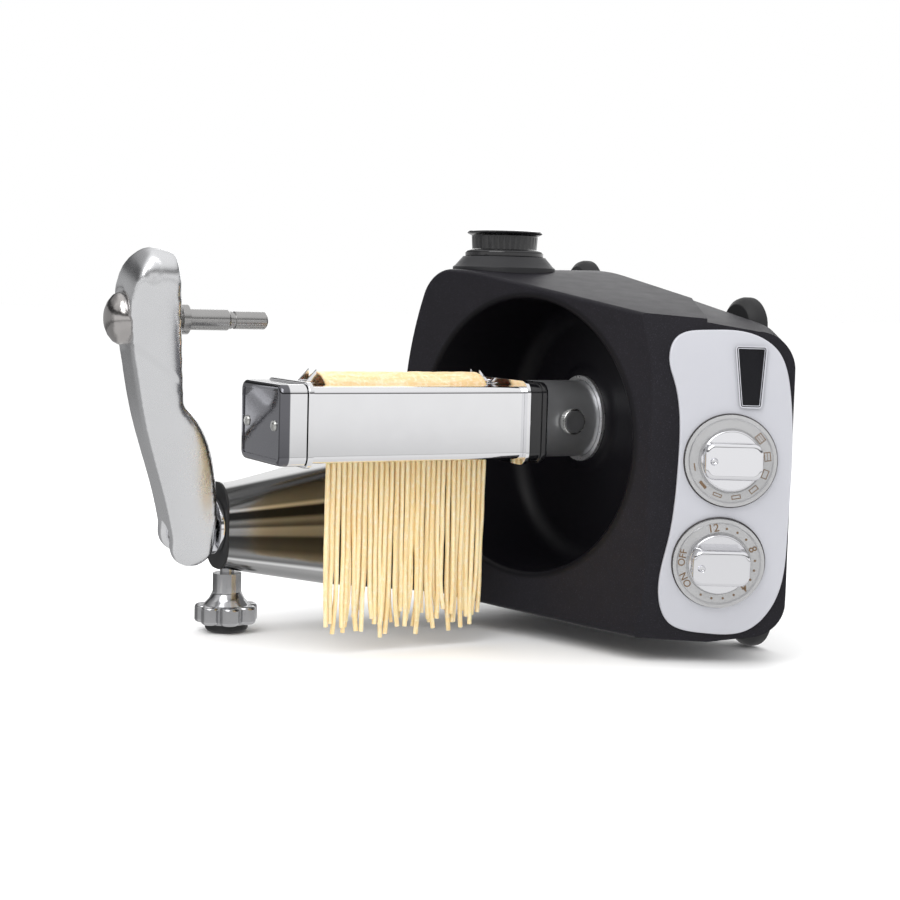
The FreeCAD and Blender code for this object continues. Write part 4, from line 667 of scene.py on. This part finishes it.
@dataclass(frozen=True)
class Facing:
    """A small drawing board on the object: a centre, the outward way, and what is up on it."""

    centre: Vector
    out: Vector

    @property
    def right(self) -> Vector:
        """Rightwards for someone who looks at it from outside."""
        return Vector((0.0, 0.0, 1.0)).cross(self.out).normalized()

    def place(self, x_mm: float = 0.0, y_mm: float = 0.0, height_mm: float = 0.0,
              turn: float = 0.0) -> Matrix:
        """The matrix that puts a flat drawing on the board, turned anticlockwise by degrees."""
        up = self.out.cross(self.right)
        axes = Matrix((self.right, up, self.out)).transposed().to_4x4()
        spot = self.centre + (self.right * x_mm + up * y_mm + self.out * height_mm) * MM
        return Matrix.Translation(spot) @ axes @ Matrix.Rotation(math.radians(turn), 4, "Z")


# ---- sub-assemblies -------------------------------------------------------------------
@dataclass
class Housing:
    """The painted housing with its well, the column's pedestal, the base and its feet."""

    plain: dict[str, Finish] = field(default_factory=lambda: {"cord_gland": RUBBER})

    def build(self) -> None:
        """Makes and dresses the housing's pieces."""
        refined("main_housing", PAINT, None, 34.0)
        refined("arm_pedestal", PAINT, None, 34.0)
        refined("base_plate", MATT_PLATE, Edge.EASED)
        refined("base_feet", RUBBER, Edge.EASED, 40.0)
        refined("base_screws", ZINC, None)
        for node, finish in self.plain.items():
            dress(NODES[node], finish)


@dataclass
class Controls:
    """The curved silver panel with its blank badge and the two dials."""

    scale_height_mm: float = 2.2
    scale_r_mm: float = 23.9
    speed_angles: tuple[float, ...] = (191.0, 222.0, 250.0, 280.0, 310.0, 340.0, 368.0, 399.0)
    speed_heights_mm: tuple[float, ...] = (0.7, 1.9, 2.2, 2.7, 3.2, 3.9, 4.4, 5.0)
    speed_rules: tuple[int, ...] = (0, 0, 0, 0, 0, 0, 1, 2)
    rule_mm: float = 0.32
    timer_words: tuple[tuple[str, float, float, float], ...] = (
        ("12", 101.0, 7.6, 11.0), ("8", 25.0, 7.6, -65.0), ("4", -42.0, 7.6, -132.0),
        ("OFF", 172.0, 6.6, 82.0), ("ON", 209.0, 6.6, 119.0))
    timer_dots: tuple[float, ...] = (80.0, 62.0, 44.0, 6.0, -10.0, -26.0, -62.0, -80.0, -98.0, -116.0)

    def board(self, joint: str) -> Facing:
        """The drawing board of one dial."""
        found = JOINTS[joint]
        return Facing(Vector(found["pos_m"]), Vector(found["axis"]).normalized())

    def on_scale(self, angle: float, outwards_mm: float = 0.0) -> tuple[float, float]:
        """The place on a dial's scale at an angle, anticlockwise from the right."""
        turn = math.radians(angle)
        reach = self.scale_r_mm + outwards_mm
        return reach * math.cos(turn), reach * math.sin(turn)

    def outline(self, name: str, width: float, height: float, line: float) -> bpy.types.Object:
        """A thin upright rectangle: a plane, inset, with its middle taken out, then thickened."""
        Bench.clear()
        bpy.ops.mesh.primitive_plane_add(size=1.0)
        piece = Bench.named(name)
        piece.scale = (width * MM, height * MM, 1.0)
        Bench.bake_place(piece)
        if line > 0:
            Bench.pick(piece, "FACE", lambda f: True)
            bpy.ops.mesh.inset(thickness=line * MM, depth=0.0)
            bpy.ops.mesh.delete(type="FACE")
            bpy.ops.object.mode_set(mode="OBJECT")
        Bench.modify(piece, "SOLIDIFY", thickness=0.06 * MM, offset=1.0)
        return piece

    def lettering(self, text: str, size_mm: float, place: Matrix) -> bpy.types.Object:
        """A printed number or word as a thin mesh."""
        Bench.clear()
        bpy.ops.object.text_add()
        drawn = bpy.context.object
        drawn.data.body = text
        drawn.data.size = size_mm * MM
        drawn.data.align_x = "CENTER"
        drawn.data.align_y = "CENTER"
        drawn.data.extrude = 0.03 * MM
        drawn.data.offset = 0.06 * MM
        bpy.ops.object.convert(target="MESH")
        drawn = bpy.context.object
        Bench.bake_place(drawn, place)
        return drawn

    def speed_marks(self) -> None:
        """Eight marks that grow round the speed scale, printed in bronze."""
        board = self.board("speed_knob_turn")
        marks = []
        for index, angle in enumerate(self.speed_angles):
            x, y = self.on_scale(angle)
            long_side = 6.0 if index else 5.0
            tall = self.speed_heights_mm[index]
            rules = self.speed_rules[index]
            line = 0.0 if index < 2 else 0.5
            mark = self.outline(f"mark_{index}", long_side, tall, line)
            mark.data.transform(board.place(x, y, self.scale_height_mm, angle - 90.0))
            marks.append(mark)
            for bar in range(rules):
                shift = (bar + 1) * tall / (rules + 1) - tall / 2
                rule = self.outline(f"rule_{index}_{bar}", long_side - 0.6, self.rule_mm, 0.0)
                x, y = self.on_scale(angle, shift)
                rule.data.transform(board.place(x, y, self.scale_height_mm, angle - 90.0))
                marks.append(rule)
        attach(Bench.joined("speed_marks", marks), "machine", MARK)

    def timer_marks(self) -> None:
        """Numbers, dots and the two words of the timer's scale."""
        board = self.board("timer_knob_turn")
        marks = []
        for text, angle, size, tilt in self.timer_words:
            x, y = self.on_scale(angle)
            marks.append(self.lettering(text, size, board.place(x, y, self.scale_height_mm, tilt)))
        for angle in self.timer_dots:
            x, y = self.on_scale(angle)
            Bench.clear()
            bpy.ops.mesh.primitive_cylinder_add(vertices=16, radius=0.8 * MM, depth=0.08 * MM)
            dot = Bench.named("dot")
            Bench.pick(dot, "FACE", lambda f: f.normal.z > 0.9)
            bpy.ops.mesh.inset(thickness=0.12 * MM, depth=0.02 * MM)
            bpy.ops.object.mode_set(mode="OBJECT")
            dot.data.transform(board.place(x, y, self.scale_height_mm))
            marks.append(dot)
        attach(Bench.joined("timer_marks", marks), "machine", MARK)

    def seat(self, name: str, joint: str) -> None:
        """The dark gap line round a dial: a dark ring that paints the shade in the gap."""
        board = self.board(joint)
        Bench.clear()
        bpy.ops.mesh.primitive_torus_add(major_radius=30.45 * MM, minor_radius=0.42 * MM,
                                         major_segments=96, minor_segments=10)
        ring = Bench.named(name)
        ring.scale = (1.0, 1.0, 0.8)
        Bench.bake_place(ring, board.place(height_mm=0.2))
        Bench.smooth(ring, 60.0)
        attach(ring, "machine", GAP_SHADE)

    def pointer(self, name: str, node: str, joint: str) -> None:
        """The small round dimple at the left end of a knob's grip."""
        board = self.board(joint)
        top = max((v.co - board.centre).dot(board.out) for v in NODES[node].data.vertices) / MM
        Bench.clear()
        bpy.ops.mesh.primitive_torus_add(major_radius=1.5 * MM, minor_radius=0.28 * MM,
                                         major_segments=32, minor_segments=8)
        ring = Bench.named(name)
        ring.scale = (1.0, 1.0, 0.6)
        Bench.bake_place(ring, board.place(-12.5, 0.0, top - 0.35))
        Bench.smooth(ring, 60.0)
        attach(ring, BODY_OF[node], KNOB)

    def badge_border(self) -> None:
        """The silver double line round the blank badge, cut from the badge's own face."""
        n_flat = self.board("speed_knob_turn").out
        for name, start, line in (("badge_border", 0.0, 0.9), ("badge_inner_line", 1.5, 0.45)):
            piece = copied("badge", name)
            Bench.pick(piece, "FACE", lambda f: f.normal.dot(n_flat) < 0.93)
            bpy.ops.mesh.delete(type="FACE")
            bpy.ops.object.mode_set(mode="OBJECT")
            Bench.pick(piece, "FACE", lambda f: True)
            bpy.ops.mesh.dissolve_limited(angle_limit=math.radians(8.0))
            if start:
                bpy.ops.mesh.inset(thickness=start * MM, depth=0.0, use_boundary=True)
                bpy.ops.mesh.select_all(action="INVERT")
                bpy.ops.mesh.delete(type="FACE")
                bpy.ops.mesh.select_all(action="SELECT")
            bpy.ops.mesh.inset(thickness=line * MM, depth=0.0, use_boundary=True)
            bpy.ops.mesh.delete(type="FACE")
            bpy.ops.object.mode_set(mode="OBJECT")
            Bench.modify(piece, "SOLIDIFY", thickness=0.3 * MM, offset=1.0)
            attach(piece, "machine", PANEL)

    def build(self) -> None:
        """Makes and dresses the controls."""
        refined("control_panel", PANEL, Edge.EASED, 30.0)
        refined("badge", BADGE, Edge.CRISP)
        for node in ("speed_dial", "timer_dial"):
            refined(node, DIAL, Edge.CRISP)
        for node in ("speed_knob", "timer_knob"):
            refined(node, KNOB, Edge.SOFT)
        self.speed_marks()
        self.timer_marks()
        self.seat("speed_dial_seat", "speed_knob_turn")
        self.seat("timer_dial_seat", "timer_knob_turn")
        self.pointer("speed_pointer", "speed_knob", "speed_knob_turn")
        self.pointer("timer_pointer", "timer_knob", "timer_knob_turn")
        self.badge_border()
        dress(NODES["speed_sensor"], DARK_PLASTIC)
        dress(NODES["timer_unit"], DARK_PLASTIC)
        dress(NODES["circuit_board"], CIRCUIT)


@dataclass
class Drive:
    """The motor, its reduction and the shaft that turns the hub."""

    hidden: dict[str, Finish] = field(default_factory=lambda: {
        "drive_shaft": STEEL, "drive_bearings": BRONZE, "drive_gear": NYLON, "motor_pinion": STEEL,
        "motor_case": GREY_CASE, "motor_end_plates": DIE_CAST, "motor_bracket": ZINC, "motor_stator": CORE,
        "motor_rotor": CORE, "motor_shaft": STEEL, "motor_brushes": CARBON})

    def build(self) -> None:
        """Makes and dresses the drive."""
        refined("hub_ring", RING, Edge.CRISP)
        for node, finish in self.hidden.items():
            dress(NODES[node], finish)


@dataclass
class Outlet:
    """The accessory outlet on the upper side, with its cap."""

    def build(self) -> None:
        """Makes and dresses the outlet."""
        refined("outlet_skirt", DARK_PLASTIC, Edge.EASED)
        refined("outlet_collar", GLOSS_BLACK, Edge.EASED)
        refined("outlet_cap", GLOSS_BLACK, Edge.CRISP)


@dataclass
class Column:
    """The chrome column, its gaskets and the hinge at its head, and the star knob under it."""

    def build(self) -> None:
        """Makes and dresses the column."""
        refined("column_sleeve", COLUMN_CHROME_PAINTED_REFLECTION, Edge.EASED)
        refined("column_gaskets", RUBBER, Edge.EASED)
        refined("hinge_block", CHROME, Edge.EASED)
        dress(NODES["column_post"], STEEL)
        dress(NODES["hinge_pin"], STEEL)
        refined("star_knob", KNOB_STEEL, None, 34.0)
        refined("star_knob_foot", RUBBER, Edge.EASED)


@dataclass
class RollerArm:
    """The cast arm with its axle pin and the knob on its outer side."""

    voxel_mm: float = 1.6
    rounds: int = 40

    def build(self) -> None:
        """Makes and dresses the arm."""
        cast("arm", ARM_ALLOY, self.voxel_mm, self.rounds)
        refined("axle_pin", STEEL, Edge.CRISP)
        refined("dome_knob", DARK_CHROME, Edge.CRISP)


@dataclass
class PastaCutter:
    """The strand cutter: chrome covers, end caps, rollers, combs and the hub that carries it."""

    lip_mm: float = 1.3
    inner: dict[str, Finish] = field(default_factory=lambda: {
        "cutter_end_plates": ZINC, "cutter_tie_rods": ZINC, "driven_roller_gear": STEEL,
        "idle_roller_gear": STEEL, "coupling_shaft": STEEL, "roller_combs": NYLON,
        "driven_roller": STEEL, "idle_roller": STEEL})

    def screw_face(self) -> None:
        """The dark, rough inlay in the thumb screw's face, with a raised lip."""
        low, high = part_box("thumb_screw")
        radius = (high.z - low.z) / 2.0 - self.lip_mm * MM
        Bench.clear()
        bpy.ops.mesh.primitive_cylinder_add(vertices=64, radius=radius, depth=0.5 * MM)
        inlay = Bench.named("thumb_screw_inlay")
        Bench.pick(inlay, "FACE", lambda f: f.normal.z > 0.9)
        bpy.ops.mesh.inset(thickness=0.5 * MM, depth=0.15 * MM)
        bpy.ops.mesh.inset(thickness=0.8 * MM, depth=-0.12 * MM)
        bpy.ops.object.mode_set(mode="OBJECT")
        centre = Vector(((low.x + high.x) / 2.0, low.y - 0.1 * MM, (low.z + high.z) / 2.0))
        inlay.data.transform(Facing(centre, Vector((0.0, -1.0, 0.0))).place())
        Bench.smooth(inlay, 30.0)
        attach(inlay, BODY_OF["thumb_screw"], SCREW_FACE)

    def build(self) -> None:
        """Makes and dresses the cutter."""
        refined("left_end_cap", CAP_CHROME_PAINTED_REFLECTION, Edge.CRISP, 30.0)
        for node in ("cutter_front_cover", "cutter_rear_cover", "cutter_flanges"):
            refined(node, CUTTER_CHROME, Edge.CRISP, 30.0)
        refined("sheet_guides", CHROME, Edge.CRISP)
        refined("right_end_cap", GLOSS_BLACK, Edge.EASED)
        refined("attachment_hub", HUB_GREY, Edge.CRISP)
        refined("thumb_screw", ZINC, Edge.CRISP)
        self.screw_face()
        refined("end_cap_screws", ZINC, None)
        for node, finish in self.inner.items():
            dress(NODES[node], finish)


@dataclass
class Pasta:
    """The sheet of dough that goes in and the strands that come out."""

    strands: int = 31
    pitch_mm: float = 3.9
    first_x_mm: float = -201.5
    nip_y_mm: float = -11.0
    top_z_mm: float = -15.0
    low_z_mm: float = -147.0
    seed: int = 7

    def sheet(self) -> None:
        """The dough: remeshed from its plain solid, with soft lumps and a worn edge."""
        piece = copied("dough_sheet", "dough_sheet_soft")
        Bench.modify(piece, "REMESH", mode="VOXEL", voxel_size=0.9 * MM)
        lumps = bpy.data.textures.new("dough_lumps", "CLOUDS")
        lumps.noise_scale = 0.012
        Bench.modify(piece, "DISPLACE", texture=lumps, strength=1.2 * MM, mid_level=0.5,
                     texture_coords="LOCAL")
        Bench.modify(piece, "SMOOTH", factor=0.5, iterations=4)
        Bench.smooth(piece, 80.0)
        attach(piece, "machine", DOUGH)
        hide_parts("dough_sheet")

    def strand(self, index: float, dice: random.Random, row: int) -> bpy.types.Object:
        """One strand: a path that hangs, wanders a little and curls at its end.

        Args:
            index: Its place along the rollers.
            dice: The source of its unevenness.
            row: 0 in front, 1 behind.

        Returns:
            The strand as a mesh.
        """
        x = self.first_x_mm + index * self.pitch_mm
        uneven = 6.0 * math.sin(index * 2.4 + row) + 4.0 * math.sin(index * 0.9 + 1)
        low = self.low_z_mm + 9.0 + uneven * 0.8 + dice.uniform(-2.5, 4.0) + row * 5.0
        lean = dice.uniform(-1.8, 1.8)
        curl = dice.uniform(-4.5, 4.5)
        sway = dice.uniform(-1.5, 1.5)
        points = []
        steps = 9
        for step in range(steps + 1):
            t = step / steps
            wander = dice.uniform(-0.55, 0.55) * min(1.0, 2 * t)
            px = x + lean * t * t + curl * max(0.0, t - 0.78) ** 2 * 14 + wander
            py = self.nip_y_mm + row * 1.9 - 0.9 + sway * t + dice.uniform(-0.4, 0.4) * t
            pz = self.top_z_mm + (low - self.top_z_mm) * t
            points.append(at(px, py, pz))
        Bench.clear()
        bpy.ops.curve.primitive_nurbs_path_add(radius=1.0, enter_editmode=False)
        path = bpy.context.object
        spline = path.data.splines[0]
        path.data.splines.remove(spline)
        spline = path.data.splines.new("NURBS")
        spline.points.add(len(points) - 1)
        for point, place in zip(spline.points, points):
            point.co = (*place, 1.0)
            point.radius = dice.uniform(0.9, 1.1)
        spline.points[-1].radius = 1.0
        spline.order_u = 4
        spline.use_endpoint_u = True
        spline.resolution_u = 3
        path.data.dimensions = "3D"
        path.data.bevel_depth = (1.62 if row == 0 else 1.3) * MM
        path.data.bevel_resolution = 2
        path.data.use_fill_caps = True
        Bench.take(path)
        bpy.ops.object.convert(target="MESH")
        made = bpy.context.object
        return made

    def curtain(self) -> None:
        """All the strands, in a front row and a thinner row behind."""
        dice = random.Random(self.seed)
        made = [self.strand(index, dice, 0) for index in range(self.strands)]
        made += [self.strand(index + 0.5, dice, 1) for index in range(self.strands - 1)]
        group = Bench.joined("pasta_strands_soft", made)
        Bench.bake_place(group)
        Bench.smooth(group, 70.0)
        attach(group, "machine", STRAND)
        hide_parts("pasta_strands")

    def build(self) -> None:
        """Makes and dresses the pasta."""
        self.sheet()
        self.curtain()


@dataclass
class Studio:
    """A pale floor, soft light and the camera."""

    camera_mm: tuple[float, float, float] = (-677.1, -1076.3, 87.7)
    turn: float = 28.0
    dip: float = 5.1
    roll: float = 1.55
    lens_mm: float = 71.2

    def camera(self) -> None:
        """The camera at the height and angle of a product shot."""
        turn, dip, roll = (math.radians(v) for v in (self.turn, self.dip, self.roll))
        ahead = Vector((math.sin(turn) * math.cos(dip), math.cos(turn) * math.cos(dip), -math.sin(dip)))
        level = Vector((math.cos(turn), -math.sin(turn), 0.0))
        upward = level.cross(ahead)
        right = level * math.cos(roll) + upward * math.sin(roll)
        top = upward * math.cos(roll) - level * math.sin(roll)
        Bench.clear()
        bpy.ops.object.camera_add()
        made = bpy.context.object
        made.name = "camera"
        made.data.lens = self.lens_mm
        made.data.sensor_width = 36.0
        made.data.clip_start = 0.05
        made.data.clip_end = 60.0
        made.matrix_world = Matrix.Translation(at(*self.camera_mm)) @ Matrix(
            (right, top, -ahead)).transposed().to_4x4()
        bpy.context.scene.camera = made

    def lamp(self, name: str, place: tuple[float, float, float], size: tuple[float, float], power: float,
             target: tuple[float, float, float] = (-60.0, 0.0, -20.0), shiny: bool = False) -> None:
        """One rectangular soft box.

        Args:
            name: Its name.
            place: Where it hangs, in millimetres about the hub.
            size: Its two sides in metres.
            power: Its power in watts.
            target: What it points at.
            shiny: Whether polished metal shows it.
        """
        Bench.clear()
        bpy.ops.object.light_add(type="AREA", location=at(*place))
        made = bpy.context.object
        made.name = name
        made.data.shape = "RECTANGLE"
        made.data.size, made.data.size_y = size
        made.data.energy = power
        way = at(*target) - at(*place)
        made.rotation_euler = way.to_track_quat("-Z", "Y").to_euler()
        made.visible_glossy = shiny
        made.visible_camera = False

    def sky(self) -> None:
        """White all round for the eye, with darker bands that only polished metal shows."""
        world = bpy.data.worlds.new("studio")
        bpy.context.scene.world = world
        world.use_nodes = True
        shade = Shade(world.node_tree)
        way = shade.node("ShaderNodeTexCoord", output="Generated")
        parts = shade.node("ShaderNodeSeparateXYZ", {}, {0: way}).socket.node
        height = Signal(shade, parts.outputs[2]) * 0.5 + 0.5
        bands = shade.steps(height, [
            (0.0, 0.78), (0.30, 0.88), (0.40, 0.84), (0.425, 0.22), (0.442, 0.55), (0.466, 0.95),
            (0.50, 1.0), (0.565, 0.95), (0.60, 0.12), (0.665, 0.09), (0.71, 0.70), (0.82, 0.96), (1.0, 1.0)])
        left_rear = Signal(shade, parts.outputs[0]) * -0.4676 + Signal(shade, parts.outputs[1]) * 0.88
        dark = shade.node("ShaderNodeMapRange", {}, {"Value": left_rear, "From Min": 0.60, "From Max": 0.80,
                                                     "To Min": 0.0, "To Max": 0.55})
        seen = shade.mix(dark, bands, (0.02, 0.02, 0.023))
        mirrored = shade.node("ShaderNodeBackground", {}, {"Color": seen, "Strength": 0.92})
        glow = shade.steps(height, [(0.0, 0.16), (0.5, 0.34), (1.0, 1.0)], False)
        diffuse = shade.node("ShaderNodeBackground", {}, {"Color": glow, "Strength": 1.45})
        plain = shade.node("ShaderNodeBackground", {}, {"Color": (1.0, 1.0, 1.0), "Strength": 1.0})
        is_glossy = shade.node("ShaderNodeLightPath", output="Is Glossy Ray")
        is_camera = shade.node("ShaderNodeLightPath", output="Is Camera Ray")
        lit = shade.node("ShaderNodeMixShader", {}, {0: is_glossy, 1: diffuse, 2: mirrored})
        both = shade.node("ShaderNodeMixShader", {}, {0: is_camera, 1: lit, 2: plain})
        shade.node("ShaderNodeOutputWorld", {}, {"Surface": both})

    def floor(self) -> None:
        """The pale floor at the level on which the machine stands."""
        Bench.clear()
        bpy.ops.mesh.primitive_plane_add(size=30.0, location=(0.0, 0.0, -0.0004))
        made = Bench.named("floor")
        dress(made, Finish("floor_paper", (0.93, 0.93, 0.93), 0.9, mottle=0.004, specular=0.0))
        made.visible_glossy = False

    def build(self) -> None:
        """Makes the studio."""
        bpy.context.scene.view_settings.view_transform = "Standard"
        self.camera()
        self.sky()
        self.floor()
        self.lamp("key_left", (-900.0, -500.0, 900.0), (0.9, 0.9), 7.0, shiny=True)
        self.lamp("rear_right", (500.0, 1000.0, 420.0), (1.0, 0.5), 2.6,
                  target=(0.0, 60.0, 90.0), shiny=True)
        self.lamp("top", (-100.0, 100.0, 1100.0), (1.4, 1.4), 5.0)
        self.lamp("fill_right", (700.0, -900.0, 300.0), (0.8, 1.0), 2.5)


def main() -> None:
    """Builds the studio and every sub-assembly, and reports each piece."""
    logging.basicConfig(level=logging.INFO, format="%(message)s")
    parts = (Studio(), Housing(), Controls(), Drive(), Outlet(), Column(), RollerArm(), PastaCutter(), Pasta())
    for part in parts:
        part.build()
        LOG.info("%s done", type(part).__name__)


if __name__ == "__main__":
    main()
